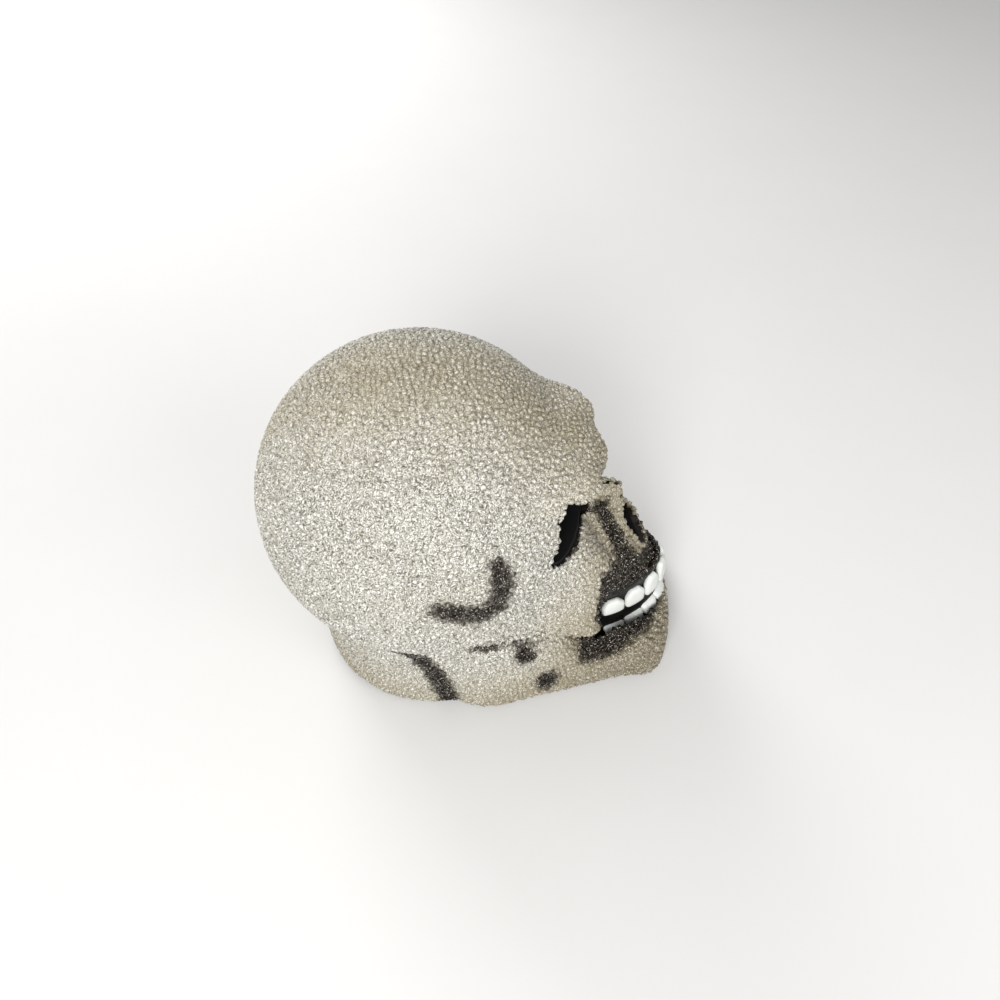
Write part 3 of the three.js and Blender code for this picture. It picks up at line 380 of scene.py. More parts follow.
@dataclass(frozen=True)
class Banded:
    """Finish with rings of other colours along X, as on a cell's jacket or a resistor."""

    name: str
    colour: int
    rings: tuple[tuple[float, float, int], ...]
    roughness: float = 0.35

    def material(self) -> bpy.types.Material:
        """The finish as a material."""
        sheet = NodeSheet(self.name)
        place = sheet.put(sheet.add("ShaderNodeSeparateXYZ"), Vector=sheet.place).outputs["X"]
        grain = sheet.noise(0.6, 3)
        colour = sheet.blend(sheet.times(grain, 0.3), linear(self.colour), linear(0x000000))
        for start, end, shade in self.rings:
            after = sheet.math("GREATER_THAN", place, start * MM)
            before = sheet.math("LESS_THAN", place, end * MM)
            colour = sheet.blend(sheet.times(after, before), colour, linear(shade))
        sheet.put(sheet.shader, Base_Color=colour, Roughness=self.roughness)
        sheet.bump(grain, 0.01)
        return sheet.material


# Form


@dataclass(frozen=True)
class Lobe:
    """One swelling of the skull: an ellipsoid and how softly it melts into the rest."""

    centre: Triple
    radii: Triple
    blend: float
    lean: float = 0.0

    def gap(self, x: Array, y: Array, z: Array) -> Array:
        """Signed gap to the lobe.

        Args:
            x: Places along the skull.
            y: Places across it.
            z: Heights.

        Returns:
            A gap below zero inside the lobe, and close to a distance near its surface.
        """
        lean = math.radians(self.lean)
        along, up = x - self.centre[0], z - self.centre[2]
        ahead = along * math.cos(lean) + up * math.sin(lean)
        above = up * math.cos(lean) - along * math.sin(lean)
        u, v, w = ahead / self.radii[0], (y - self.centre[1]) / self.radii[1], above / self.radii[2]
        reach = np.sqrt(u * u + v * v + w * w)
        slope = np.sqrt((u / self.radii[0]) ** 2 + (v / self.radii[1]) ** 2 + (w / self.radii[2]) ** 2)
        return reach * (reach - 1) / np.maximum(slope, 1e-6)


def melt(a: Array, b: Array, rounding: float) -> Array:
    """Two gaps joined, with a fillet of about the given rounding where they meet."""
    share = np.maximum(rounding - np.abs(a - b), 0) / rounding
    return np.minimum(a, b) - share * share * rounding / 4


def trim(a: Array, b: Array, rounding: float) -> Array:
    """The part that two gaps share, with its edge rounded."""
    return -melt(-a, -b, rounding)


@dataclass(frozen=True)
class DentalArch:
    """Plan curve that the teeth and the muzzle follow."""

    start_x: float = 30.0
    reach: float = 46.6
    half_width: float = 28.0
    power: float = 1.8

    def gap(self, x: Array, side: Array, inset: float) -> Array:
        """Signed gap to an upright wall along the arch, drawn in by an inset."""
        reach, half = self.reach - inset, self.half_width - inset
        u, v = np.maximum(x - self.start_x, 0) / reach, side / half
        norm = np.maximum((u**self.power + v**self.power) ** (1 / self.power), 1e-6)
        rise = np.hypot(u ** (self.power - 1) / reach, v ** (self.power - 1) / half)
        return (norm - 1) / np.maximum(norm ** (1 - self.power) * rise, 1e-4)

    def point(self, angle: float, inset: float) -> Pair:
        """Point of the arch at a plan angle in radians, drawn in by an inset."""
        ahead, across = math.cos(angle), math.sin(angle)
        power = 2 / self.power
        x = self.start_x + (self.reach - inset) * abs(ahead) ** power
        y = math.copysign((self.half_width - inset) * abs(across) ** power, across)
        return x, y

    def end_angle(self, half_width: float) -> float:
        """Plan angle at which the arch is as wide as a half width."""
        return math.asin((half_width / self.half_width) ** (self.power / 2))

    def places(self, runs: list[float]) -> list[Triple]:
        """Places along the arch.

        Args:
            runs: How far along the curve each place is from the middle.

        Returns:
            For each place its X, its Y and the angle that it faces.
        """
        angles = np.linspace(-math.pi / 2, math.pi / 2, 2001)
        points = np.array([self.point(angle, 0.0) for angle in angles])
        run = np.concatenate([[0], np.cumsum(np.linalg.norm(np.diff(points, axis=0), axis=1))])
        found = []
        for place in runs:
            along = run[-1] / 2 + place
            (x, y), (ahead_x, ahead_y) = ([float(np.interp(along + step, run, points[:, k])) for k in (0, 1)]
                                          for step in (0.0, 0.3))
            found.append((x, y, math.atan2(ahead_y - y, ahead_x - x) - math.pi / 2))
        return found


@dataclass(frozen=True)
class SkullForm:
    """Smooth outer form of the skull as a signed gap, with the same sizes as the solids."""

    cranium: Lobe = Lobe((-21.3, 0.0, 78.0), (60.2, 59.6, 60.2), 0.0)
    brow: Lobe = Lobe((24.5, 17.0, 103.0), (16.5, 13.5, 7.5), 8.0)
    brow_end: Lobe = Lobe((33.8, 18.0, 98.5), (8.0, 8.0, 7.0), 5.0)
    glabella: Lobe = Lobe((27.0, 0.0, 97.5), (19.0, 16.0, 13.5), 8.0)
    maxilla: Lobe = Lobe((35.0, 21.0, 57.0), (13.0, 12.0, 20.0), 10.0, 20.0)
    nose_front: Pair = (55.0, 80.0)
    nose_lean: float = 4.0
    nose_top: float = 85.0
    nose_half_width: float = 5.5
    nose_spread: float = 14.0
    nose_rounding: float = 7.0
    nose_back: float = 30.0
    nose_bottom: float = 40.0
    nose_blend: float = 5.0
    nose_base: Lobe = Lobe((50.0, 0.0, 52.0), (17.0, 15.0, 17.0), 5.0)
    arch: DentalArch = DentalArch()
    gum_inset: float = 2.9
    muzzle_top: Pair = (72.8, 44.2)
    muzzle_slope: float = 29.0
    muzzle_back: float = 10.0
    muzzle_rounding: float = 9.0
    muzzle_blend: float = 8.0
    cheek_tip: Triple = (47.5, 38.5, 33.0)
    cheek_under: float = 26.5
    cheek_angles: tuple[float, ...] = (7.0, 9.0, 26.0, 20.0)
    cheek_back: float = -20.0
    cheek_top: float = 90.0
    cheek_rounding: float = 8.5
    cheek_blend: float = 12.0
    jaw_angle: Pair = (4.0, 51.9)
    chin_corner: Pair = (78.0, 32.3)
    chin_turn: float = 31.0
    chin_curve: float = 110.0
    chin_lean: float = 3.0
    chin_swell: Triple = (72.0, 9.0, 2.4)
    chin_rounding: float = 5.0
    front_x: float = 81.5
    jaw_back: float = -6.0
    jaw_back_rounding: float = 14.0
    jaw_rounding: float = 7.0
    jaw_blend: float = 10.0
    jaw_top: Pair = (75.0, 22.0)
    jaw_slope: float = 20.0
    ledge_height: float = 21.0
    ledge_slope: float = -6.0
    ledge_back: float = 38.0
    ledge_ease: float = 0.6
    ledge_blend: float = 12.0
    neck_x: float = -20.0
    neck_radius: float = 49.0
    neck_top: float = 46.0
    neck_rounding: float = 6.0
    neck_blend: float = 4.0
    base_rounding: float = 4.0
    heart: Triple = (-5.0, 0.0, 60.0)
    start_reach: float = 163.0
    most_steps: int = 160
    step_share: float = 0.8
    closeness: float = 0.01

    def _cheek(self, x: Array, side: Array, z: Array) -> Array:
        """Gap to the slab of a cheek."""
        tip_x, tip_y, tip_z = self.cheek_tip
        lean, turned, front, under = (math.radians(angle) for angle in self.cheek_angles)
        flank = (side - tip_y) * math.cos(lean) + (z - tip_z) * math.sin(lean)
        ahead = (x - tip_x) * math.cos(turned) + (side - tip_y) * math.sin(turned)
        face = ahead * math.cos(front) + (z - tip_z) * math.sin(front)
        below = -(x - tip_x) * math.sin(under) - (z - self.cheek_under) * math.cos(under)
        gap = flank
        for side_gap in (face, below, self.cheek_back - x, z - self.cheek_top):
            gap = trim(gap, side_gap, self.cheek_rounding)
        return gap

    def _muzzle(self, x: Array, side: Array, z: Array) -> Array:
        """Gap to the swelling that the teeth stand on."""
        slope = math.radians(self.muzzle_slope)
        top = (x - self.muzzle_top[0]) * math.sin(slope) + (z - self.muzzle_top[1]) * math.cos(slope)
        gap = trim(self.arch.gap(x, side, self.gum_inset), top, self.muzzle_rounding)
        return trim(gap, self.muzzle_back - x, self.muzzle_rounding)

    def _nose(self, x: Array, side: Array, z: Array) -> Array:
        """Gap to the blunt bridge of the nose."""
        lean, spread = math.radians(self.nose_lean), math.radians(self.nose_spread)
        front = (x - self.nose_front[0]) * math.cos(lean) + (z - self.nose_front[1]) * math.sin(lean)
        flank = (side - self.nose_half_width) * math.cos(spread) + (z - self.nose_front[1]) * math.sin(spread)
        gap = trim(trim(front, z - self.nose_top, self.nose_rounding * 0.6), flank, self.nose_rounding)
        return trim(trim(gap, self.nose_back - x, self.nose_blend), self.nose_bottom - z, self.nose_blend)

    def _jaw_top(self, x: Array, z: Array) -> Array:
        """Gap to the jaw's top: a low ledge in front, and the rise under the cheek behind it."""
        slope, level = math.radians(self.jaw_slope), math.radians(self.ledge_slope)
        rise = (x - self.jaw_top[0]) * math.sin(slope) + (z - self.jaw_top[1]) * math.cos(slope)
        ledge = (x - self.jaw_top[0]) * math.sin(level) + (z - self.ledge_height) * math.cos(level)
        rise = trim(rise, (x - self.ledge_back) * self.ledge_ease, self.jaw_back_rounding)
        return melt(ledge, rise, self.ledge_blend)

    def _jaw(self, x: Array, side: Array, z: Array) -> Array:
        """Gap to the wedge of the lower jaw."""
        run_x, run_y = self.chin_corner[0] - self.jaw_angle[0], self.jaw_angle[1] - self.chin_corner[1]
        run = math.hypot(run_x, run_y)
        swell_x, swell_run, swell = self.chin_swell
        flank = (x - self.jaw_angle[0]) * run_y / run + (side - self.jaw_angle[1]) * run_x / run
        flank = flank - swell * np.exp(-(((x - swell_x) / swell_run) ** 2))
        turned, back = math.radians(self.chin_turn), z * math.tan(math.radians(self.chin_lean))
        chin = (x - self.chin_corner[0]) * math.cos(turned) + (side - self.chin_corner[1]) * math.sin(turned)
        front = np.hypot(x - self.front_x + self.chin_curve, side) - self.chin_curve
        gap = trim(trim(flank, chin + back, self.chin_rounding), front + back, self.chin_rounding)
        gap = trim(gap, self.jaw_back - x, self.jaw_back_rounding)
        return trim(gap, self._jaw_top(x, z), self.jaw_rounding)

    def gap(self, points: Array) -> Array:
        """Signed gap from points to the whole form.

        Args:
            points: Places, one row each.

        Returns:
            One gap for each point, below zero inside.
        """
        x, y, z = points[:, 0], points[:, 1], points[:, 2]
        side = np.abs(y)
        gap = self.cranium.gap(x, y, z)
        gap = melt(gap, self._cheek(x, side, z), self.cheek_blend)
        gap = melt(gap, self._muzzle(x, side, z), self.muzzle_blend)
        gap = melt(gap, self.maxilla.gap(x, side, z), self.maxilla.blend)
        gap = melt(gap, self.nose_base.gap(x, y, z), self.nose_base.blend)
        gap = melt(gap, self._nose(x, side, z), self.nose_blend)
        gap = melt(gap, self.brow.gap(x, side, z), self.brow.blend)
        gap = melt(gap, self.glabella.gap(x, y, z), self.glabella.blend)
        gap = melt(gap, self.brow_end.gap(x, side, z), self.brow_end.blend)
        neck = trim(np.hypot(x - self.neck_x, y) - self.neck_radius, z - self.neck_top, self.neck_rounding)
        gap = melt(gap, melt(neck, self._jaw(x, side, z), self.jaw_blend), self.neck_blend)
        return trim(gap, -z, self.base_rounding)

    def push_out(self, directions: Array, inset: float) -> Array:
        """Places where rays from the heart leave the form.

        Args:
            directions: Unit directions, one row each.
            inset: How far under the surface the places lie.

        Returns:
            One place for each direction.
        """
        heart = np.array(self.heart)
        reach = np.full(len(directions), self.start_reach)
        live = np.arange(len(directions))
        for _ in range(self.most_steps):
            gap = self.gap(heart + directions[live] * reach[live, None]) + inset
            reach[live] -= gap * self.step_share
            live = live[gap > self.closeness]
            if not len(live):
                break
        return heart + directions * reach[:, None]


# Meshes


def finished(name: str, bm: BMesh, scale: float = MM, smooth: bool = False) -> Piece:
    """Turns a bmesh into an object in the scene.

    Args:
        name: Name of the object.
        bm: The mesh, in millimetres; it is freed.
        scale: What a unit of the mesh is in metres.
        smooth: Whether its faces are shaded smoothly.

    Returns:
        The object, at the origin.
    """
    bmesh.ops.scale(bm, vec=(scale, scale, scale), verts=bm.verts)
    bmesh.ops.recalc_face_normals(bm, faces=bm.faces)
    for face in bm.faces:
        face.smooth = smooth
    mesh = bpy.data.meshes.new(name)
    bm.to_mesh(mesh)
    bm.free()
    return placed(name, mesh)


def placed(name: str, mesh: bpy.types.Mesh) -> Piece:
    """Object in the scene that shows a mesh."""
    piece = bpy.data.objects.new(name, mesh)
    bpy.context.scene.collection.objects.link(piece)
    return piece


def add_part(bm: BMesh, part: BMesh) -> None:
    """Adds one bmesh to another.

    Args:
        bm: The mesh that grows.
        part: What is added; it is freed.
    """
    mesh = bpy.data.meshes.new("part")
    part.to_mesh(mesh)
    part.free()
    bm.from_mesh(mesh)
    bpy.data.meshes.remove(mesh)


def mesh_points(mesh: bpy.types.Mesh) -> Array:
    """Points of a mesh in millimetres, one row each."""
    places = np.empty(len(mesh.vertices) * 3, np.float32)
    mesh.vertices.foreach_get("co", places)
    return places.reshape(-1, 3).astype(float) / MM


def label_points(mesh: bpy.types.Mesh, tint: Array, paint_and_shade: Array, grain: Array) -> None:
    """Writes the attributes that the granules' finish reads.

    Args:
        mesh: The mesh.
        tint: Tone of each point; the skin's low tint paints shade into the gaps between granules.
        paint_and_shade: Share of sprayed paint, and of painted crease shade, at each point.
        grain: Place of each point in its granule.
    """
    for name, kind, field_name, values in (("tint", "FLOAT", "value", tint), ("paint_and_shade", "FLOAT", "value", paint_and_shade),
                                           ("grain", "FLOAT_VECTOR", "vector", grain)):
        layer = mesh.attributes.new(name, kind, "POINT")
        layer.data.foreach_set(field_name, values.reshape(-1).astype(np.float32))


def push_up(bm: BMesh, outline: list[Pair], z0: float, z1: float) -> None:
    """Adds a prism over a flat outline to a bmesh.

    Args:
        bm: Where it goes.
        outline: Its corners in X and Y.
        z0: Height of its foot.
        z1: Height of its top.
    """
    foot = bm.faces.new([bm.verts.new((x, y, z0)) for x, y in outline])
    made = bmesh.ops.extrude_face_region(bm, geom=[foot])["geom"]
    risen = [part for part in made if isinstance(part, bmesh.types.BMVert)]
    bmesh.ops.translate(bm, vec=(0, 0, z1 - z0), verts=risen)


def smoothed(corners: list[Pair], steps: int) -> list[Pair]:
    """Smooth closed outline through corners.

    Args:
        corners: The corners, in order.
        steps: Points for each side.

    Returns:
        The outline's points.
    """
    points = []
    count = len(corners)
    for i in range(count):
        before, start, end, after = (np.array(corners[(i + k) % count]) for k in (-1, 0, 1, 2))
        for step in range(steps):
            t = step / steps
            bend = 2 * start + (end - before) * t
            bend = bend + (2 * before - 5 * start + 4 * end - after) * t**2
            bend = bend + (3 * start - before - 3 * end + after) * t**3
            points.append(tuple(float(v) for v in bend / 2))
    return points


def dress(piece: Piece, material: bpy.types.Material, slot: str, *nodes: str) -> Piece:
    """Gives a new piece its material and its body, and hides the solids that it stands for.

    Args:
        piece: The piece.
        material: Its material.
        slot: Not used.
        *nodes: Solids that it stands for.

    Returns:
        The same piece.
    """
    piece.data.materials.clear()
    piece.data.materials.append(material)
    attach(piece, ROOT_BODY)
    if nodes:
        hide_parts(*nodes)
    LOG.info("%s: %d faces", piece.name, len(piece.data.polygons))
    return piece


# Shell


@dataclass(frozen=True)
class Mark:
    """One soft dark mark, a route over the skin and how far the mark reaches beside it: most are sprayed paint,
    and one is painted shade along a crease.
    """

    route: tuple[Triple, ...]
    reaches: tuple[float, ...]
    strength: float = 1.0

    def share(self, points: Array) -> Array:
        """How thickly points are painted.

        Args:
            points: Places on the near side or, mirrored, on the other.

        Returns:
            1 well inside the mark, a half at half of its reach, and 0 beyond it.
        """
        best = np.zeros(len(points))
        for start, end, near, far in zip(self.route, self.route[1:], self.reaches, self.reaches[1:]):
            leg = np.array(end) - np.array(start)
            along = np.clip((points - np.array(start)) @ leg / float(leg @ leg), 0, 1)
            gap = np.linalg.norm(points - np.array(start) - along[:, None] * leg, axis=1)
            best = np.maximum(best, np.clip(1.5 - gap / (near + (far - near) * along), 0, 1))
        return best * self.strength


@dataclass
class GranuleShell:
    """Hollow shell of fused granules: a skin with a wall, and the granules that stand in it."""

    form: SkullForm = field(default_factory=SkullForm)
    wall: float = 6.0
    skin_inset: float = 0.9
    skin_fineness: int = 7
    divisions: int = 4
    fine_edge: float = 1.5
    fine_from_x: float = 18.0
    cavity_fineness: int = 5
    socket_turn: float = 25.0
    socket_middle: Pair = (5.25, 88.5)
    socket_size: Pair = (30.5, 26.0)
    socket_floor: float = 24.0
    socket_shares: tuple[Pair, ...] = (
        (-0.54, 0.04), (-0.52, 0.31), (-0.24, 0.46), (0.12, 0.55), (0.3, 0.6), (0.34, 0.3), (0.4, 0.06),
        (0.57, -0.15), (0.6, -0.29), (0.46, -0.41), (0.2, -0.46), (-0.12, -0.43), (-0.38, -0.55),
        (-0.57, -0.54),
    )
    nostril_middle: Pair = (0.0, 66.5)
    nostril_size: Pair = (15.0, 33.0)
    nostril_floor: float = 37.0
    nostril_shares: tuple[Pair, ...] = (
        (0, 0.54), (0.12, 0.44), (0.18, 0.27), (0.27, 0.12), (0.42, 0.0), (0.53, -0.12), (0.56, -0.28),
        (0.44, -0.4), (0.2, -0.46), (-0.2, -0.46), (-0.44, -0.4), (-0.56, -0.28), (-0.53, -0.12),
        (-0.42, 0.0), (-0.27, 0.12), (-0.18, 0.27), (-0.12, 0.44),
    )
    mouth_depth: float = 8.2
    mouth_room: float = 1.2
    mouth_half_width: float = 27.2
    mouth_heights: Pair = (12.7, 41.8)
    mouth_arch: DentalArch = DentalArch(30.0, 48.7, 33.0, 1.9)
    mouth_end: float = 30.9
    lip_rows: tuple[float, ...] = (39.0, 40.4, 41.8)
    lip_inset: float = 3.7
    mouth_floor: float = 11.0
    mouth_paint_back: float = 44.6
    mouth_paint_width: float = 32.0
    mouth_paint_tops: tuple[Pair, ...] = (
        (44.0, 62.0), (47.0, 60.5), (53.0, 54.5), (60.0, 54.0), (66.0, 50.5), (82.0, 49.0),
    )
    jaw_paint_back: float = 39.5
    jaw_paint_reaches: tuple[Pair, ...] = (
        (38.0, 11.0), (48.0, 12.0), (57.0, 11.0), (69.0, 8.5), (74.0, 3.5), (78.0, 1.2), (82.0, 0.0),
    )
    dark_inside: Pair = (18.0, 44.0)
    unit_x: float = -6.0
    unit_radius: float = 36.3
    flange_radius: float = 40.3
    seat_depth: float = 3.8
    granule_pitch: float = 1.75
    granule_radius: float = 1.25
    granule_variants: int = 8
    granule_spread: float = 0.13
    granule_stretch: tuple[Triple, ...] = ((0.8, 0.8, 0.95), (1.05, 1.05, 1.35))
    granule_sink: float = 0.45
    lowest: float = 0.02
    tries: float = 9.0
    batch: int = 200
    # Low tint of the skin between the granules, which paints shade into the gaps.
    skin_gap_shade: float = 0.25
    seed: int = 31
    skin_grain: float = 3.6
    batches: int = 3
    marks: tuple[Mark, ...] = (
        Mark(((44.8, 5.6, 76.3), (48.1, 8.0, 70.6), (49.7, 9.7, 67.3), (52.2, 11.4, 64.0), (54.1, 13.0, 60.6),
              (55.5, 14.0, 57.6), (58.1, 14.5, 53.4)), (2.6, 3.2, 3.2, 3.2, 3.6, 4.2, 5.0)),
        Mark(((-11.3, 58.2, 86.4), (-6.7, 57.6, 83.1), (-2.0, 56.4, 80.5), (2.8, 54.6, 78.2), (6.7, 52.7, 79.5),
              (8.3, 51.4, 84.7), (9.0, 50.2, 89.7), (8.3, 49.1, 94.9), (7.4, 48.7, 97.5)),
             (3.6, 4.6, 4.8, 4.8, 4.8, 4.6, 4.4, 3.8, 3.0), 0.85),
        Mark(((-33.7, 47.8, 42.2), (-27.7, 49.1, 41.4), (-22.7, 49.2, 38.2), (-19.5, 49.0, 32.7),
              (-16.7, 48.9, 23.8), (-14.6, 48.8, 13.3), (-12.7, 48.8, 3.5)),
             (1.0, 2.2, 3.2, 3.6, 4.0, 4.2, 4.0), 0.95),
        Mark(((17.6, 47.7, 41.2), (17.8, 47.5, 37.4)), (4.2, 4.2)),
        Mark(((26.7, 45.7, 17.2), (26.7, 46.2, 12.0)), (4.4, 4.4)),
        Mark(((38.5, 12.0, 77.0), (41.0, 8.6, 76.0), (43.8, 6.7, 75.5), (45.6, 6.5, 75.9), (47.3, 6.1, 77.6),
              (48.3, 5.4, 79.7)), (1.2, 2.2, 2.4, 2.2, 1.6, 1.2)),
        # Painted shadow in the crease under the cheek's lower edge, where the cheek overhangs the jaw.
        Mark(((-5.3, 51.0, 47.1), (0.5, 50.3, 47.4), (7.7, 47.8, 46.0), (13.2, 45.4, 44.3), (22.8, 42.0, 40.2),
              (32.7, 38.3, 35.9), (42.4, 36.8, 32.4)), (1.4, 2.0, 1.4, 1.3, 1.3, 1.3, 1.3), 0.85),
        # A faint thin dark line along the lower edge of the back of the cranium.
        Mark(((-53.4, 35.9, 44.0), (-45.0, 42.1, 43.0), (-34.8, 47.6, 42.5)), (0.7, 0.7, 0.9), 0.45),
    )

    def ball(self, name: str, fineness: int, inset: float) -> Piece:
        """Closed skull form as an object.

        Args:
            name: Name of the object.
            fineness: Subdivisions of the ball that is pushed out.
            inset: How far it lies under the smooth form.

        Returns:
            The object.
        """
        bm = bmesh.new()
        bmesh.ops.create_icosphere(bm, subdivisions=fineness, radius=1.0)
        directions = np.array([vert.co for vert in bm.verts])
        directions /= np.linalg.norm(directions, axis=1, keepdims=True)
        for vert, place in zip(bm.verts, self.form.push_out(directions, inset)):
            vert.co = place
        return finished(name, bm)

    def opening(self, name: str, outline: list[Pair], turn: float, floor: float) -> Piece:
        """Tool that cuts an opening whose axis is level.

        Args:
            name: Name of the object.
            outline: Corners across the axis and up.
            turn: Degrees that the axis turns out from straight ahead.
            floor: Where the opening ends along the axis.

        Returns:
            The tool.
        """
        bm = bmesh.new()
        push_up(bm, outline, floor, 2 * self.form.front_x)
        angle = math.radians(turn)
        axes = Matrix((
            (-math.sin(angle), 0.0, math.cos(angle)),
            (math.cos(angle), 0.0, math.sin(angle)),
            (0.0, 1.0, 0.0),
        ))
        bmesh.ops.transform(bm, matrix=axes.to_4x4(), verts=bm.verts)
        return finished(name, bm)

    def outline(self, middle: Pair, size: Pair,
                shares: tuple[Pair, ...], side: int = 1) -> list[Pair]:
        """Smooth outline of an opening from its shares."""
        corners = [(side * (middle[0] + a * size[0]), middle[1] + b * size[1]) for a, b in shares]
        return smoothed(corners, 6)

    def mouth_tools(self) -> list[Piece]:
        """Tools that cut the mouth: the seat of the gum, and the wider room in front of the teeth."""
        arch = self.form.arch
        end = arch.end_angle(self.mouth_half_width)
        turns = np.linspace(-1, 1, 49)
        seat = [arch.point(end * turn, -self.mouth_room) for turn in turns]
        seat += [arch.point(end * turn, self.mouth_depth) for turn in reversed(turns)]
        wide = self.mouth_arch.end_angle(self.mouth_end)
        room = [self.mouth_arch.point(wide * turn, 0.0) for turn in turns]
        share = (room[0][0] - arch.start_x) / (arch.reach - self.mouth_depth)
        inner = math.acos(share ** (arch.power / 2))
        room += [arch.point(inner * turn, self.mouth_depth) for turn in reversed(turns)]
        tools = []
        for name, outline in (("gum_seat_tool", seat), ("mouth_room_tool", room)):
            bm = bmesh.new()
            push_up(bm, outline, *self.mouth_heights)
            tools.append(finished(name, bm))
        return tools

    def seat_tool(self, name: str, radius: float, depth: float) -> Piece:
        """Round tool that cuts a seat of the light unit from below."""
        bm = bmesh.new()
        lift = Matrix.Translation((self.unit_x, 0, depth / 2 - 1))
        bmesh.ops.create_cone(bm, cap_ends=True, segments=96, radius1=radius, radius2=radius,
                              depth=depth + 2, matrix=lift)
        return finished(name, bm)

    def cut(self, piece: Piece, tools: list[Piece]) -> None:
        """Cuts tools out of a piece and removes them."""
        for tool in tools:
            modifier = piece.modifiers.new(tool.name, "BOOLEAN")
            modifier.operation = "DIFFERENCE"
            modifier.solver = "MANIFOLD"
            modifier.object = tool
        graph = bpy.context.evaluated_depsgraph_get()
        mesh = bpy.data.meshes.new_from_object(piece.evaluated_get(graph))
        piece.modifiers.clear()
        piece.data = mesh
        for tool in tools:
            bpy.data.objects.remove(tool)

    def skin(self) -> Piece:
        """The shell's skin and wall, with its openings and the seat of the light unit."""
        piece = self.ball("granule_skin", self.skin_fineness, self.skin_inset)
        cavity = self.ball("cavity_tool", self.cavity_fineness, self.wall)
        left, right = (self.outline(self.socket_middle, self.socket_size, self.socket_shares, side)
                       for side in (1, -1))
        nostril = self.outline(self.nostril_middle, self.nostril_size, self.nostril_shares)
        self.cut(piece, [
            cavity,
            self.seat_tool("unit_tool", self.unit_radius, self.wall + 3),
            self.seat_tool("flange_tool", self.flange_radius, self.seat_depth),
            self.opening("left_socket_tool", left, self.socket_turn, self.socket_floor),
            self.opening("right_socket_tool", right, -self.socket_turn, self.socket_floor),
            self.opening("nostril_tool", nostril, 0.0, self.nostril_floor),
            *self.mouth_tools(),
        ])
        self.divide(piece.data)
        return piece

    def divide(self, mesh: bpy.types.Mesh) -> None:
        """Divides the long triangles of the face, so that the paint's edge runs finely over them.

        Args:
            mesh: The cut skin.
        """
        bm = bmesh.new()
        bm.from_mesh(mesh)
        for _ in range(self.divisions):
            long_edges = [edge for edge in bm.edges if edge.calc_length() > self.fine_edge * MM
                          and all(vert.co.x > self.fine_from_x * MM for vert in edge.verts)]
            bmesh.ops.subdivide_edges(bm, edges=long_edges, cuts=1)
            bmesh.ops.triangulate(bm, faces=[face for face in bm.faces if len(face.verts) > 3])
            self.drop_doubled(bm)
        bm.to_mesh(mesh)
        bm.free()

    def drop_doubled(self, bm: BMesh) -> None:
        """Removes faces that lie back to back on the same corners, and what they leave loose."""
        sharing: dict[frozenset[bmesh.types.BMVert], list[bmesh.types.BMFace]] = {}
        for face in bm.faces:
            sharing.setdefault(frozenset(face.verts), []).append(face)
        doubled = [face for faces in sharing.values() if len(faces) > 1 for face in faces]
        bmesh.ops.delete(bm, geom=doubled, context="FACES_ONLY")
        bmesh.ops.delete(bm, geom=[edge for edge in bm.edges if not edge.link_faces], context="EDGES")
        bmesh.ops.delete(bm, geom=[vert for vert in bm.verts if not vert.link_faces], context="VERTS")

    def paint_and_shade(self, points: Array) -> Array:
        """Share of black paint, and of painted crease shade, at points, the same on both sides."""
        near = points.copy()
        near[:, 1] = np.abs(near[:, 1])
        start_x, bottom = self.dark_inside
        deep = 2 * np.clip((-self.skin_inset - 0.35 - self.form.gap(near)) / 0.5, 0, 1)
        deep = np.where((near[:, 0] > start_x) & (near[:, 2] > bottom), deep, 0)
        return np.max([deep, self.mouth_soot(near)] + [mark.share(near) for mark in self.marks], axis=0)

    def mouth_soot(self, points: Array) -> Array:
        """Share of paint round the mouth: inside it, over the upper lip and along the jaw's ledge."""
        x, side, z = points.T
        middle = sum(self.mouth_heights) / 2
        top = np.interp(x, *zip(*self.mouth_paint_tops))
        upper = np.minimum((x - self.mouth_paint_back) / 1.6, (self.mouth_paint_width - side) / 4.0)
        upper = np.minimum(upper, (top - z) / 3.0)
        upper = np.where(z > middle, np.clip(upper + 0.5, 0, 1), 0)
        out = self.form.arch.gap(x, side, 0.0)
        reach = np.interp(x, *zip(*self.jaw_paint_reaches))
        lower = np.minimum((reach - out) / 4.5, (x - self.jaw_paint_back) / 4.5)
        lower = np.where(z <= middle, np.clip(lower + 0.5, 0, 1), 0)
        lower = lower * np.clip((z - 14.0) / 3.0, 0, 1)
        mouth = (out < self.mouth_room + 0.6) & (x > self.mouth_paint_back)
        mouth &= (z > self.mouth_floor) & (z < self.mouth_heights[1] + 1)
        return np.maximum(np.maximum(upper, lower), np.where(mouth, 1.0, 0.0))

    def in_order(self, corners: Array, places: Array) -> Array:
        """Triangles sorted by where they lie, since the mesh tools may list them in any order.

        Args:
            corners: Points of each triangle, as rows of the places.
            places: Places of the mesh's points.

        Returns:
            The same triangles, each with its lowest-sorted corner first.
        """
        ranks = np.empty(len(places), int)
        ranks[np.lexsort(places.T)] = np.arange(len(places))
        first = ranks[corners].argmin(axis=1)
        corners = np.take_along_axis(corners, (first[:, None] + np.arange(3)) % 3, axis=1)
        return corners[np.lexsort(ranks[corners].T)]

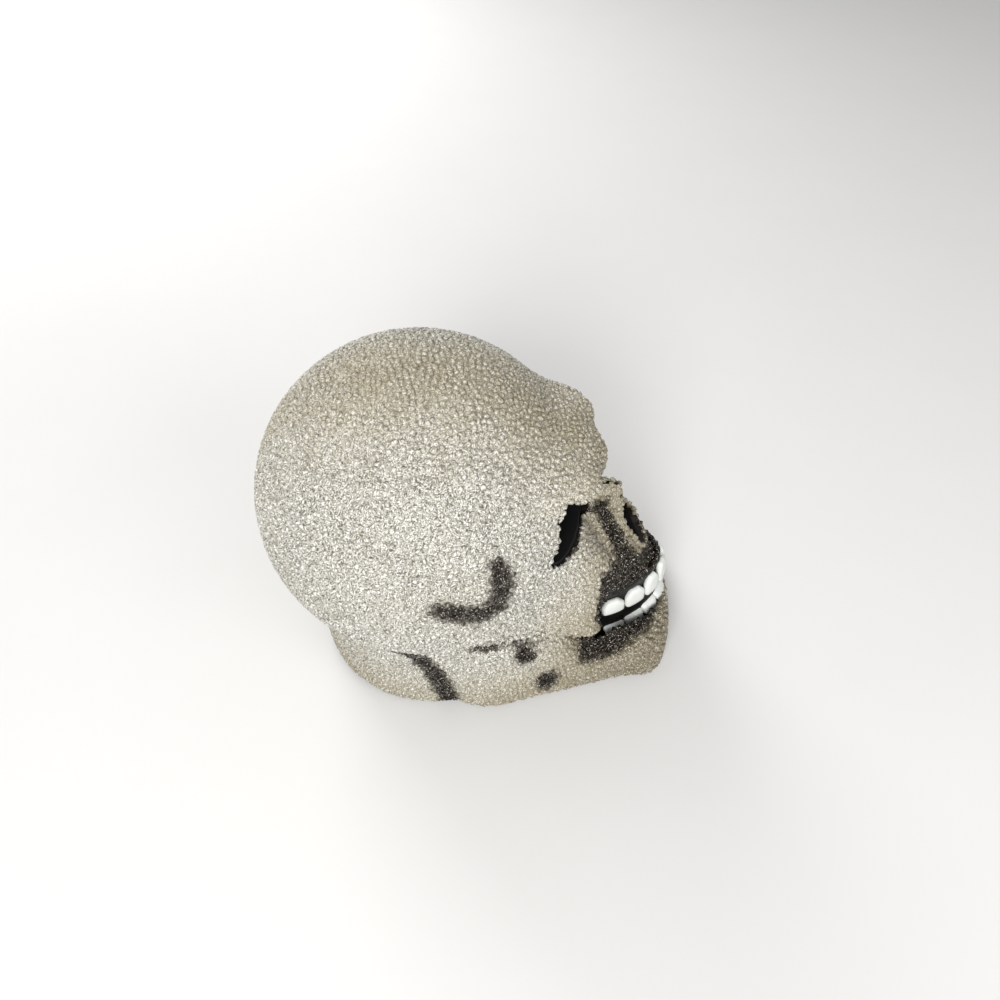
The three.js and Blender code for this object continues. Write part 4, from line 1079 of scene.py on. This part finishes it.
    def seeds(self, skin: Piece, rng: np.random.Generator) -> tuple[Array, Array]:
        """Places for the granules, spread evenly over what shows of the skin.

        Args:
            skin: The finished skin.
            rng: Source of the random draws.

        Returns:
            The places and the skin's outward directions there.
        """
        mesh = skin.data
        mesh.calc_loop_triangles()
        corners = np.empty(len(mesh.loop_triangles) * 3, np.int32)
        mesh.loop_triangles.foreach_get("vertices", corners)
        places = mesh_points(mesh)
        a, b, c = places[self.in_order(corners.reshape(-1, 3), places)].transpose(1, 0, 2)
        cross = np.cross(b - a, c - a)
        areas = np.linalg.norm(cross, axis=1) / 2
        tries = int(areas.sum() / self.granule_pitch**2 * self.tries)
        chosen = rng.choice(len(areas), tries, p=areas / areas.sum())
        u, v = rng.random((2, tries, 1))
        flip = u + v > 1
        u, v = np.where(flip, 1 - u, u), np.where(flip, 1 - v, v)
        points = a[chosen] + u * (b - a)[chosen] + v * (c - a)[chosen]
        normals = (cross / np.maximum(2 * areas[:, None], 1e-9))[chosen]
        opening = (points[:, 0] > self.dark_inside[0]) & (points[:, 2] > self.dark_inside[1])
        deep = self.form.gap(points) < -self.skin_inset - np.where(opening, 0.5, 2.6)
        over_seat = np.hypot(points[:, 0] - self.unit_x, points[:, 1]) < self.flange_radius + 1.2
        keep = ~(deep | (over_seat & (points[:, 2] < self.wall)))
        points, normals = points[keep], normals[keep]
        kept = self.apart(points)
        return points[kept], normals[kept]

    def apart(self, points: Array) -> list[int]:
        """Rows of the points that keep a granule's pitch from all those kept before them."""
        cells: dict[tuple[int, int, int], list[list[float]]] = {}
        kept: list[int] = []
        keys = np.floor(points / self.granule_pitch).astype(int).tolist()
        limit = self.granule_pitch**2
        around = list(itertools.product((-1, 0, 1), repeat=3))
        for i, ((kx, ky, kz), place) in enumerate(zip(keys, points.tolist())):
            x, y, z = place
            near = (other for dx, dy, dz in around for other in cells.get((kx + dx, ky + dy, kz + dz), ()))
            if not any((x - ox) ** 2 + (y - oy) ** 2 + (z - oz) ** 2 < limit for ox, oy, oz in near):
                cells.setdefault((kx, ky, kz), []).append(place)
                kept.append(i)
        return kept

    def lip_seeds(self, rng: np.random.Generator) -> tuple[Array, Array]:
        """Places for the granules of the upper lip, over the top edge of the gum.

        Args:
            rng: Source of the random draws.

        Returns:
            The places and the outward directions there.
        """
        arch = self.form.arch
        end = arch.end_angle(self.mouth_half_width - 1)
        steps = int(1.6 * arch.reach / self.granule_pitch)
        points, normals = [], []
        for k, z in enumerate(self.lip_rows):
            for i in range(steps):
                angle = end * (2 * (i + 0.5 * (k % 2)) / steps - 1) + rng.normal(0, 0.006)
                x, y = arch.point(angle, self.lip_inset)
                out_x, out_y = arch.point(angle, 0.0)
                points.append((x, y, z + rng.normal(0, 0.15)))
                normals.append((out_x - x, out_y - y, 0.0))
        normals = np.array(normals)
        return np.array(points), normals / np.linalg.norm(normals, axis=1, keepdims=True)

    def granule_templates(self, rng: np.random.Generator) -> Array:
        """Corner points of a few uneven granules, each from one small ball."""
        shapes = []
        for _ in range(self.granule_variants):
            bm = bmesh.new()
            bmesh.ops.create_icosphere(bm, subdivisions=1, radius=1.0)
            shape = np.array([vert.co for vert in bm.verts])
            shapes.append(shape * (1 + rng.normal(0, self.granule_spread, (len(shape), 1))))
            bm.free()
        return np.array(shapes)

    def granules(self, skin: Piece, rng: np.random.Generator) -> list[Piece]:
        """The granules that stand in the skin, in a few pieces.

        Args:
            skin: The finished skin.
            rng: Source of the random draws.

        Returns:
            The pieces.
        """
        points, normals = (np.concatenate(pair) for pair in zip(self.seeds(skin, rng), self.lip_seeds(rng)))
        count = len(points)
        templates = self.granule_templates(rng)
        shapes = templates[rng.integers(0, len(templates), count)]
        stretch = rng.uniform(*self.granule_stretch, (count, 3))
        shapes = shapes * stretch[:, None, :] * self.granule_radius
        local = shapes + rng.uniform(-500, 500, (count, 1, 3))
        turns = np.linalg.qr(rng.normal(size=(count, 3, 3)))[0]
        turns[:, :, 0] *= np.sign(np.linalg.det(turns))[:, None]
        shapes = np.einsum("nij,nkj->nki", turns, shapes)
        outer = self.form.gap(points) > -self.skin_inset - 0.4
        limit = np.where(outer, self.skin_inset, 0.35)
        sink = rng.uniform(0.0, self.granule_sink, count) - np.where(outer, 0.05, 0.5)
        corners = shapes - sink[:, None, None] * normals[:, None, :]
        rise = np.einsum("nkj,nj->nk", corners, normals)
        over = np.maximum(rise - limit[:, None], 0)
        corners = corners - over[:, :, None] * normals[:, None, :] + points[:, None, :]
        corners[:, :, 2] = np.maximum(corners[:, :, 2], self.lowest)
        tints = rng.beta(2.2, 1.6, count)
        paint_and_shade = self.paint_and_shade(points)
        order = np.argsort(points[:, 0], kind="stable")
        return [self.granule_piece(f"granules_{k}", corners[part], tints[part], paint_and_shade[part], local[part])
                for k, part in enumerate(np.array_split(order, self.batches), 1)]

    def granule_piece(self, name: str, corners: Array, tints: Array, paint_and_shade: Array,
                      local: Array) -> Piece:
        """One piece made of many granules.

        Args:
            name: Name of the piece.
            corners: Corner points of each granule.
            tints: Shade of each granule.
            paint_and_shade: Share of sprayed paint, and of painted crease shade, on each granule.
            local: Corner points in each granule's own frame.

        Returns:
            The piece.
        """
        bm = bmesh.new()
        for start in range(0, len(corners), self.batch):
            part = bmesh.new()
            for shape in corners[start:start + self.batch]:
                made = bmesh.ops.create_icosphere(part, subdivisions=1, radius=1.0)["verts"]
                for vert, place in zip(made, shape.tolist()):
                    vert.co = place
            add_part(bm, part)
        bmesh.ops.scale(bm, vec=(MM, MM, MM), verts=bm.verts)
        for face in bm.faces:
            face.smooth = True
        mesh = bpy.data.meshes.new(name)
        bm.to_mesh(mesh)
        bm.free()
        each = corners.shape[1]
        label_points(mesh, np.repeat(tints, each), np.repeat(paint_and_shade, each), local)
        return placed(name, mesh)

    def build(self) -> None:
        """Makes the shell and dresses it."""
        skin = self.skin()
        points = mesh_points(skin.data)
        # The skin's low tint paints shade into the gaps between granules.
        label_points(skin.data, np.full(len(points), self.skin_gap_shade), self.paint_and_shade(points),
                     points * (self.skin_grain, 1.0, 1.0))
        material = Granules().material()
        dress(skin, material, "granules", "skull_shell")
        for piece in self.granules(skin, np.random.default_rng(self.seed)):
            dress(piece, material, "granules")


# Mouth


@dataclass(frozen=True)
class ToothRow:
    """One row of teeth."""

    name: str
    node: str
    widths: tuple[float, ...]
    bottom: float
    height: float
    upper: bool
    setback: float
    lean: float
    spread: float = 0.0
    depth: float = 2.6

    def runs(self) -> list[float]:
        """How far each tooth's middle is from the arch's middle, along the curve."""
        half = [sum(self.widths[:i]) + width / 2 for i, width in enumerate(self.widths)]
        return [-run for run in reversed(half)] + half

    def width(self, index: int) -> float:
        """Room that a tooth has along the curve, by its place in the row."""
        count = len(self.widths)
        return self.widths[count - 1 - index if index < count else index - count]


@dataclass
class Mouth:
    """Black gum band and two rows of rounded white teeth along the dental arch."""

    arch: DentalArch = field(default_factory=DentalArch)
    gum_inset: float = 1.3
    gum_depth: float = 6.6
    gum_half_width: float = 25.2
    gum_heights: Pair = (13.0, 41.6)
    tooth_gap: float = 0.5
    tooth_rounding: float = 1.3
    lean: float = 0.137
    gum_levels: int = 34
    gum_swell: float = 0.9
    gum_fold: float = 0.8
    gum_spread: float = 2.6
    seed: int = 7
    rows: tuple[ToothRow, ...] = (
        ToothRow("upper_tooth_row", "upper_teeth", (9.6, 9.0, 10.3, 10.7), 29.4, 10.6, True, 0.0, 0.137),
        ToothRow("lower_tooth_row", "lower_teeth", (10.2, 9.2, 9.8, 10.2), 16.4, 5.4, False, -1.5, 0.5,
                 1.8, 3.8),
    )

    def fold_height(self) -> float:
        """Height of the fold between the two rows of teeth."""
        upper, lower = self.rows
        return (upper.bottom + lower.bottom + lower.height) / 2

    def places(self, row: ToothRow) -> list[Triple]:
        """Places of a row's teeth, on the arch as it lies at the row's height."""
        base = self.arch
        arch = DentalArch(base.start_x, base.reach - row.setback, base.half_width + row.spread, base.power)
        return arch.places(row.runs())

    def gum(self) -> Piece:
        """The gum band, with a swelling over each tooth and a fold between the rows."""
        end = self.arch.end_angle(self.gum_half_width)
        angles = [end * step for step in np.linspace(-1, 1, 97)]
        outline = [self.arch.point(angle, self.gum_inset) for angle in angles]
        outline += [self.arch.point(angle, self.gum_inset + self.gum_depth) for angle in reversed(angles)]
        low, high = self.gum_heights
        bm = bmesh.new()
        face = bm.faces.new([bm.verts.new((x, y, low)) for x, y in outline])
        rise = (high - low) / self.gum_levels
        for _ in range(self.gum_levels):
            made = bmesh.ops.extrude_face_region(bm, geom=[face])["geom"]
            risen = [part for part in made if isinstance(part, bmesh.types.BMVert)]
            bmesh.ops.translate(bm, vec=(0, 0, rise), verts=risen)
            old, face = face, next(part for part in made if isinstance(part, bmesh.types.BMFace))
            if old.calc_center_median().z > low + rise / 2:
                bmesh.ops.delete(bm, geom=[old], context="FACES_ONLY")
        roots = [(x, y, row) for row in self.rows for x, y, _ in self.places(row)]
        for vert in bm.verts:
            x, y, z = vert.co
            if self.arch.gap(np.array([x]), np.array([abs(y)]), self.gum_inset)[0] < -0.5:
                continue
            swell = 0.0
            for rx, ry, row in roots:
                root_z = row.bottom + row.height if row.upper else row.bottom
                away = math.hypot(x - rx, y - ry) / (row.widths[0] * 0.42)
                swell = max(swell, self.gum_swell * math.exp(-away**2 - ((z - root_z) / self.gum_spread) ** 2))
            above = z - self.fold_height()
            fold = self.gum_fold * math.exp(-((above / self.gum_spread) ** 2)) + above * self.lean
            out = (vert.co - Vector((self.arch.start_x, 0, z))).normalized()
            vert.co += out * (swell - fold)
        return finished("gum_band", bm, smooth=True)

    def tooth(self, bm: BMesh, row: ToothRow, index: int, place: Triple,
              rng: random.Random) -> None:
        """Adds one tooth to a row: rounded at its tip, and drawn in to a blunt peak at its root.

        Args:
            bm: Mesh of the row.
            row: The row.
            index: The tooth's place in the row.
            place: X, Y and facing of the tooth.
            rng: Source of the small differences between teeth.
        """
        outer = abs(index / (len(row.widths) - 0.5) - 1)
        width = (row.width(index) - self.tooth_gap) * rng.uniform(0.97, 1.03)
        height = row.height * (1 - 0.3 * max(outer - 0.4, 0) / 0.6)
        one = bmesh.new()
        bmesh.ops.create_cube(one, size=1.0)
        bmesh.ops.scale(one, vec=(row.depth, width, height), verts=one.verts)
        rounding = min(self.tooth_rounding, height * 0.4, row.depth * 0.49)
        bmesh.ops.bevel(one, geom=one.edges[:], offset=rounding, offset_type="OFFSET", segments=3, profile=0.5,
                        affect="EDGES", material=-1, clamp_overlap=True)
        long_edges = [edge for edge in one.edges if edge.calc_length() > rounding]
        bmesh.ops.subdivide_edges(one, edges=long_edges, cuts=5, use_grid_fill=True)
        root = 1 if row.upper else -1
        lean, swell = rng.uniform(-0.05, 0.05), rng.uniform(0.9, 1.1)
        for vert in one.verts:
            up = vert.co.z / (height / 2) * root
            across = vert.co.y / (width / 2)
            narrow = 0.74 * max(up - 0.2, 0) ** 1.1 if row.upper else 0.2 * max(up, 0) ** 2
            if vert.co.x > 0:
                vert.co.x += 0.45 * swell * (1 - across**2) * (1 - 0.6 * up**2)
            vert.co.z += root * 0.05 * height * (abs(across) ** 2.5) * max(-up, 0)
            vert.co.y *= 1 - narrow
            vert.co.y += lean * vert.co.z
            vert.co.x -= row.lean * vert.co.z
        x, y, facing = place
        inward = Matrix.Translation((-row.depth / 2, 0, 0))
        stand = Matrix.Translation((x, y, row.bottom + height / 2)) @ Matrix.Rotation(facing, 4, "Z")
        bmesh.ops.transform(one, matrix=stand @ inward, verts=one.verts)
        add_part(bm, one)

    def build(self) -> None:
        """Makes the gum and the teeth and dresses them."""
        black = Moulded("gum_black", 0x0E0E0D, 0x171612, 0.3, 0.8, 0.03, 0.2)
        dress(self.gum(), black.material(), "gum_black", "mouth_liner")
        white = Moulded("tooth_enamel", 0xF0F2EF, 0xE4E6E0, 0.2, 1.2, 0.05).material()
        rng = random.Random(self.seed)
        for row in self.rows:
            bm = bmesh.new()
            for i, place in enumerate(self.places(row)):
                self.tooth(bm, row, i, place, rng)
            dress(finished(row.name, bm, smooth=True), white, "tooth_white", row.node)


# Light unit


@dataclass(frozen=True)
class Contact:
    """One contact strip: its end of the bay, the cells that it spans and the cell with a solder tab."""

    node: str
    end: int
    cells: tuple[int, int]
    tab: int | None = None


@dataclass
class LightUnit:
    """Battery light unit in the base: its solids' finishes, and the finer pieces on and in it."""

    place: Triple = (-6.0, 0.0, 1.5)
    cell_radius: float = 5.25
    cell_length: float = 44.5
    cell_pitch: float = 11.2
    cell_z: float = 8.95
    cell_start: float = 18.95
    nub_radius: float = 1.9
    nub_length: float = 1.0
    bay_x: float = 26.65
    plate_setback: float = 0.55
    plate_thickness: float = 0.5
    plate_height: float = 9.0
    plate_half_width: float = 4.2
    tab_width: float = 2.0
    tab_top: float = 18.3
    spring_radius: float = 2.6
    spring_wire: float = 0.32
    spring_turns: int = 5
    spring_reach: float = 6.7
    contacts: tuple[Contact, ...] = (
        Contact("contact_negative", -1, (0, 0), 0),
        Contact("contact_link_front", 1, (0, 1)),
        Contact("contact_link_back", -1, (1, 2)),
        Contact("contact_positive", 1, (2, 2), 2),
    )
    bead_radius: float = 38.2
    bead: float = 0.4
    rib_places: tuple[float, ...] = (9.0, 11.0, 13.0, 15.0, 17.0)
    rib_size: Triple = (0.8, 16.0, 0.35)
    letter_size: Pair = (2.0, 2.8)
    letter_stroke: float = 0.55
    letter_gap: float = 0.5
    letter_relief: float = 0.35
    letter_y: float = -29.0
    words: tuple[tuple[str, float], ...] = (("OFF", -4.6), ("ON", 6.8))
    door_top: float = 2.2
    plus_x: float = 17.0
    minus_x: float = 16.0
    sign_size: Pair = (1.6, 0.3)

    def bar(self, bm: BMesh, low: Triple, high: Triple,
            rounding: float = 0.0) -> None:
        """Adds a block in the light unit's own frame to a bmesh.

        Args:
            bm: Where it goes.
            low: Its lowest corner.
            high: Its highest corner.
            rounding: How far its edges are rounded.
        """
        size = [b - a for a, b in zip(low, high)]
        middle = Vector([(a + b) / 2 for a, b in zip(low, high)]) + Vector(self.place)
        one = bmesh.new()
        bmesh.ops.create_cube(one, size=1.0)
        bmesh.ops.scale(one, vec=size, verts=one.verts)
        if rounding:
            bmesh.ops.bevel(one, geom=one.edges[:], offset=rounding, offset_type="OFFSET", segments=2,
                            profile=0.5, affect="EDGES", material=-1, clamp_overlap=True)
        bmesh.ops.translate(one, vec=middle, verts=one.verts)
        add_part(bm, one)

    def cell_side(self, cell: int) -> float:
        """Y of a cell's axis in the light unit's own frame."""
        return (cell - 1) * self.cell_pitch

    def cell_way(self, cell: int) -> int:
        """1 or -1, the way along X that a cell's nub points."""
        return 1 if cell % 2 == 0 else -1

    def spring(self, bm: BMesh, x: float, y: float, way: int) -> None:
        """Adds a coil spring to a bmesh.

        Args:
            bm: Where it goes.
            x: Where it stands on its strip.
            y: Its middle across the bay.
            way: 1 or -1, the way along X that it reaches.
        """
        steps = 24 * self.spring_turns
        rise = (self.spring_reach - 2 * self.spring_wire) / steps
        foot = Vector(self.place) + Vector((x + way * self.spring_wire, y, self.cell_z))
        ring = bmesh.ops.create_circle(bm, cap_ends=True, segments=10, radius=self.spring_wire)["verts"]
        bmesh.ops.translate(bm, vec=foot + Vector((0, self.spring_radius, 0)), verts=ring)
        faces = list({face for vert in ring for face in vert.link_faces})
        edges = list({edge for vert in ring for edge in vert.link_edges})
        bmesh.ops.spin(bm, geom=faces + edges + ring, cent=foot, axis=(1, 0, 0), dvec=(way * rise, 0, 0),
                       angle=2 * math.pi * self.spring_turns, steps=steps, use_merge=False)

    def strips(self, material: bpy.types.Material) -> None:
        """Makes the contact strips with their springs and solder tabs."""
        half = self.plate_thickness / 2
        bottom = self.cell_z - self.plate_height / 2
        for contact in self.contacts:
            first, last = contact.cells
            x = contact.end * (self.bay_x - self.plate_setback)
            low, high = self.cell_side(first), self.cell_side(last)
            bm = bmesh.new()
            self.bar(bm, (x - half, low - self.plate_half_width, bottom),
                     (x + half, high + self.plate_half_width, bottom + self.plate_height), 0.2)
            if contact.tab is not None:
                y, side = self.cell_side(contact.tab), self.tab_width / 2
                self.bar(bm, (x - half, y - side, bottom), (x + half, y + side, self.tab_top), 0.1)
            for cell in range(first, last + 1):
                if self.cell_way(cell) == -contact.end:
                    self.spring(bm, x, self.cell_side(cell), self.cell_way(cell))
            dress(finished(contact.node + "_strip", bm), material, "contact_nickel", contact.node)

    def lathe(self, name: str, profile: list[Pair], way: int, start: float, y: float) -> Piece:
        """Piece turned about the axis of a cell.

        Args:
            name: Name of the piece.
            profile: Points along the axis and out from it.
            way: 1 or -1, the way along X that the profile runs.
            start: X of the profile's zero.
            y: Place across the bay.

        Returns:
            The piece.
        """
        bm = bmesh.new()
        verts = [bm.verts.new((way * along, out, 0)) for along, out in profile]
        edges = [bm.edges.new(pair) for pair in zip(verts, verts[1:])]
        bmesh.ops.spin(bm, geom=verts + edges, cent=(0, 0, 0), axis=(1, 0, 0), angle=2 * math.pi, steps=48,
                       use_merge=True)
        bmesh.ops.remove_doubles(bm, verts=bm.verts, dist=0.001)
        bmesh.ops.translate(bm, vec=Vector(self.place) + Vector((way * start, y, self.cell_z)), verts=bm.verts)
        piece = finished(name, bm)
        for face in piece.data.polygons:
            face.use_smooth = abs(face.normal.x) < 0.9
        return piece

    def cells(self, steel: bpy.types.Material) -> None:
        """Makes the three cells: a jacket with a coloured band, and the can's two ends."""
        can = self.cell_length - self.nub_length
        for i in range(3):
            way, y, start = self.cell_way(i), self.cell_side(i), -self.cell_start
            x = self.place[0] + way * start
            band = sorted((x + way * (can - 11.0), x + way * (can - 0.2)))
            line = sorted((x + way * (can - 12.0), x + way * (can - 11.5)))
            jacket = Banded(f"cell_jacket_{i + 1}", 0x2E3236, ((*band, 0xA8713C), (*line, 0xC9C9C4)), 0.28)
            r = self.cell_radius
            sleeve = [(0.3, r - 0.9), (0.0, r - 0.7), (0.1, r - 0.25), (0.4, r), (can - 0.4, r),
                      (can - 0.1, r - 0.25), (can, r - 0.7), (can - 0.3, r - 0.9), (0.3, r - 0.9)]
            dress(self.lathe(f"cell_sleeve_{i + 1}", sleeve, way, start, y), jacket.material(), "cell_jacket",
                  f"battery_{i + 1}")
            nub, end = self.nub_radius, self.cell_length
            ends = [(0.15, 0.0), (0.15, r - 1.8), (0.35, r - 1.5), (0.35, r - 0.8), (can - 0.35, r - 0.8),
                    (can - 0.35, 2.7), (can - 0.2, nub + 0.1), (end - 0.3, nub), (end, nub - 0.3), (end, 0.0)]
            dress(self.lathe(f"cell_ends_{i + 1}", ends, way, start, y), steel, "screw_steel")

    def letters(self, word: str, middle: float) -> Piece:
        """Raised letters of a word made of the letters O, N and F, read from below.

        Args:
            word: The word.
            middle: X of its middle.

        Returns:
            The piece.
        """
        wide, high = self.letter_size
        bold = self.letter_stroke
        inner, top, waist = wide - bold, high - bold, 0.4 * high

        def box(x0: float, x1: float, y0: float, y1: float) -> list[Pair]:
            return [(x0, y0), (x1, y0), (x1, y1), (x0, y1)]

        post, far_post = box(0, bold, 0, high), box(inner, wide, 0, high)
        shapes = {
            "O": [post, far_post, box(bold, inner, 0, bold), box(bold, inner, top, high)],
            "F": [post, box(bold, wide, top, high), box(bold, 0.8 * wide, waist, waist + bold)],
            "N": [post, far_post, [(bold, high), (bold, high - 2 * bold), (inner, 0), (inner, 2 * bold)]],
        }
        pitch = wide + self.letter_gap
        start = middle - (len(word) * pitch - self.letter_gap) / 2
        bm = bmesh.new()
        for i, letter in enumerate(word):
            for shape in shapes[letter]:
                outline = [(start + i * pitch + x, self.letter_y - y) for x, y in shape]
                push_up(bm, outline, -self.letter_relief, 0.05)
        bmesh.ops.translate(bm, vec=self.place, verts=bm.verts)
        return finished(f"word_{word.lower()}", bm)

    def flange_bead(self) -> Piece:
        """The bead that runs round under the flange."""
        bm = bmesh.new()
        ring = bmesh.ops.create_circle(bm, cap_ends=False, segments=10, radius=self.bead)["verts"]
        bmesh.ops.rotate(bm, verts=ring, cent=(0, 0, 0), matrix=Matrix.Rotation(math.pi / 2, 3, "X"))
        bmesh.ops.translate(bm, vec=(self.bead_radius, 0, 0), verts=ring)
        edges = list({edge for vert in ring for edge in vert.link_edges})
        bmesh.ops.spin(bm, geom=edges + ring, cent=(0, 0, 0), axis=(0, 0, 1), angle=2 * math.pi, steps=120,
                       use_merge=True)
        bmesh.ops.remove_doubles(bm, verts=bm.verts, dist=0.001)
        bmesh.ops.translate(bm, vec=self.place, verts=bm.verts)
        return finished("flange_bead", bm, smooth=True)

    def door_ribs(self) -> Piece:
        """The ribs under the door, and the signs of the cells' poles on its top."""
        bm = bmesh.new()
        long, wide, high = self.rib_size
        for x in self.rib_places:
            self.bar(bm, (x - long / 2, -wide / 2, -high), (x + long / 2, wide / 2, 0.1), 0.15)
        reach, half = self.sign_size
        for cell in range(3):
            y, way = self.cell_side(cell), self.cell_way(cell)
            plus, minus = way * self.plus_x, -way * self.minus_x
            for x, wide_x, wide_y in ((plus, reach, half), (plus, half, reach), (minus, half, reach)):
                self.bar(bm, (x - wide_x, y - wide_y, self.door_top - 0.1),
                         (x + wide_x, y + wide_y, self.door_top + 0.25))
        return finished("door_ribs", bm)

    def small_pieces(self, white: bpy.types.Material, dark: bpy.types.Material) -> None:
        """Makes the bead, the door's ribs and signs, the switch's words and the knob's ridges."""
        dress(self.flange_bead(), white, "housing")
        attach(dress(self.door_ribs(), white, "housing"), "door")
        for word, middle in self.words:
            dress(self.letters(word, middle), white, "housing")
        bm = bmesh.new()
        for x in (-0.7, 0.0, 0.7):
            self.bar(bm, (x - 0.15, -27.0, -1.15), (x + 0.15, -25.0, -0.9))
        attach(dress(finished("knob_ridges", bm), dark, "chip"), "switch")

    def build(self) -> None:
        """Dresses the solids of the light unit and the liners, and adds the finer pieces."""
        socket = Moulded("socket_black", 0x0A0A0B, 0x0E0E0F, 0.85, 0.4, 0.03, 0.15).material()
        white = Moulded("housing_white", 0xD9D8D2, 0xD2D1CA, 0.42).material()
        steel = Metal("plated_steel", 0xB4B6B8, 0x9C9EA0).material()
        nickel = Metal("nickel_strip", 0xC9C6BC, 0xB2AFA4, 0.25).material()
        chip = Moulded("chip_case", 0x101012, 0x1A1A1C, 0.5).material()
        lamp = Clear("lamp_resin", 0xF1F2EE, 0.7, 0.08).material()
        finishes = {
            "eye_liner_left": socket, "eye_liner_right": socket, "nose_liner": socket,
            "light_housing": white, "light_cover": white, "battery_door": white,
            "door_screw": steel, "switch_case": steel, "switch_knob": chip, "control_chip": chip,
            "circuit_board": Moulded("board_green", 0x2C5A3A, 0x22492F, 0.4, 1.2, 0.03).material(),
            "lens_dome": Clear("milky_lens", 0xEEEEEA, 0.35, 0.35).material(),
            "resistor": Banded("resistor_tan", 0xBFA378, ((-7.2, -6.8, 0x7A4A1E), (-6.2, -5.8, 0x1E1E1E),
                                                          (-5.2, -4.8, 0xB02A1E))).material(),
            "wire_red": Moulded("red_sheath", 0xA52522, 0x96211E, 0.4).material(),
            "wire_black": Moulded("black_sheath", 0x17171A, 0x1E1E21, 0.4).material(),
            "wire_white": Moulded("white_sheath", 0xDEDCD4, 0xD2D0C8, 0.4).material(),
            **{f"cover_screw_{i}": steel for i in range(1, 5)},
            **{f"board_screw_{i}": steel for i in range(1, 3)},
            **{f"lamp_{i}": lamp for i in range(1, 4)},
        }
        for node, material in finishes.items():
            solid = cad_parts[node]
            solid.data.materials.clear()
            solid.data.materials.append(material)
            LOG.info("%s: %s", node, material.name)
        self.strips(nickel)
        self.cells(steel)
        self.small_pieces(white, chip)


# Studio


class Lamp(Enum):
    """Soft lights of the studio: where each stands, how large it is and its power in watts."""

    KEY = ((-0.2, -0.87, 0.6), 0.45, 8.7)
    FILL = ((0.7, -0.65, 0.55), 0.6, 3.2)
    TOP = ((-0.45, 0.3, 0.8), 0.7, 1.2)
    BACK = ((-0.5, 0.85, 0.5), 0.6, 6.0)


@dataclass
class Studio:
    """Pale floor, soft lights and the camera."""

    eye: Triple = (7.7, -185.5, 290.0)
    pitch: float = 49.5
    lens: float = 27.04
    floor_half: float = 3.0
    floor_drop: float = -0.0002
    world_strength: float = 0.34
    aim_height: float = 0.06

    def floor(self) -> None:
        """The floor, pale to the rays that see it and darker to those that it lights the object with."""
        bm = bmesh.new()
        bmesh.ops.create_grid(bm, x_segments=1, y_segments=1, size=self.floor_half)
        floor = finished("floor", bm, 1.0)
        floor.location.z = self.floor_drop
        sheet = NodeSheet("floor_paint")
        seen = sheet.sees_white()
        colour = sheet.blend(sheet.noise(60.0, 2), linear(0xE9E8E6), linear(0xE6E5E3))
        sheet.put(sheet.shader, Base_Color=sheet.blend(seen, linear(0x8C8B88), colour), Roughness=0.9)
        floor.data.materials.append(sheet.material)

    def world(self) -> bpy.types.World:
        """The world, white to the rays that see it and dimmer as a light."""
        world = bpy.data.worlds.new("studio")
        world.use_nodes = True
        nodes = Nodes(world.node_tree)
        light, out = nodes.tree.nodes["Background"], nodes.tree.nodes["World Output"]
        nodes.put(light, Color=(1, 1, 1, 1), Strength=self.world_strength)
        backdrop = nodes.put(nodes.add("ShaderNodeBackground"), Color=(1, 1, 1, 1), Strength=1.0)
        mix = nodes.add("ShaderNodeMixShader")
        nodes.feed(mix.inputs, (nodes.sees_white(), light.outputs[0], backdrop.outputs[0]))
        nodes.put(out, Surface=mix.outputs[0])
        return world

    def add_lamp(self, lamp: Lamp) -> None:
        """Adds one soft light, turned to the middle of the skull."""
        place, size, power = lamp.value
        data = bpy.data.lights.new(lamp.name.lower(), "AREA")
        data.size, data.energy = size, power
        body = bpy.data.objects.new(lamp.name.lower(), data)
        body.location = place
        aim = Vector((0, 0, self.aim_height)) - body.location
        body.rotation_euler = aim.to_track_quat("-Z", "Y").to_euler()
        bpy.context.scene.collection.objects.link(body)

    def camera(self) -> Piece:
        """The camera, where the photo was taken from."""
        data = bpy.data.cameras.new("camera")
        data.lens = self.lens
        camera = bpy.data.objects.new("camera", data)
        camera.location = [v * MM for v in self.eye]
        camera.rotation_euler = (math.radians(90 - self.pitch), 0, 0)
        bpy.context.scene.collection.objects.link(camera)
        return camera

    def build(self) -> None:
        """Makes the floor, the lights and the camera."""
        scene = bpy.context.scene
        scene.view_settings.view_transform = "Standard"
        self.floor()
        scene.world = self.world()
        for lamp in Lamp:
            self.add_lamp(lamp)
        scene.camera = self.camera()
        LOG.info("studio: %d lights", len(Lamp))


def main() -> None:
    """Builds every part of the scene in order."""
    logging.basicConfig(level=logging.INFO, format="%(message)s", stream=sys.stdout)
    for part in (GranuleShell(), Mouth(), LightUnit(), Studio()):
        part.build()


if __name__ == "__main__":
    main()
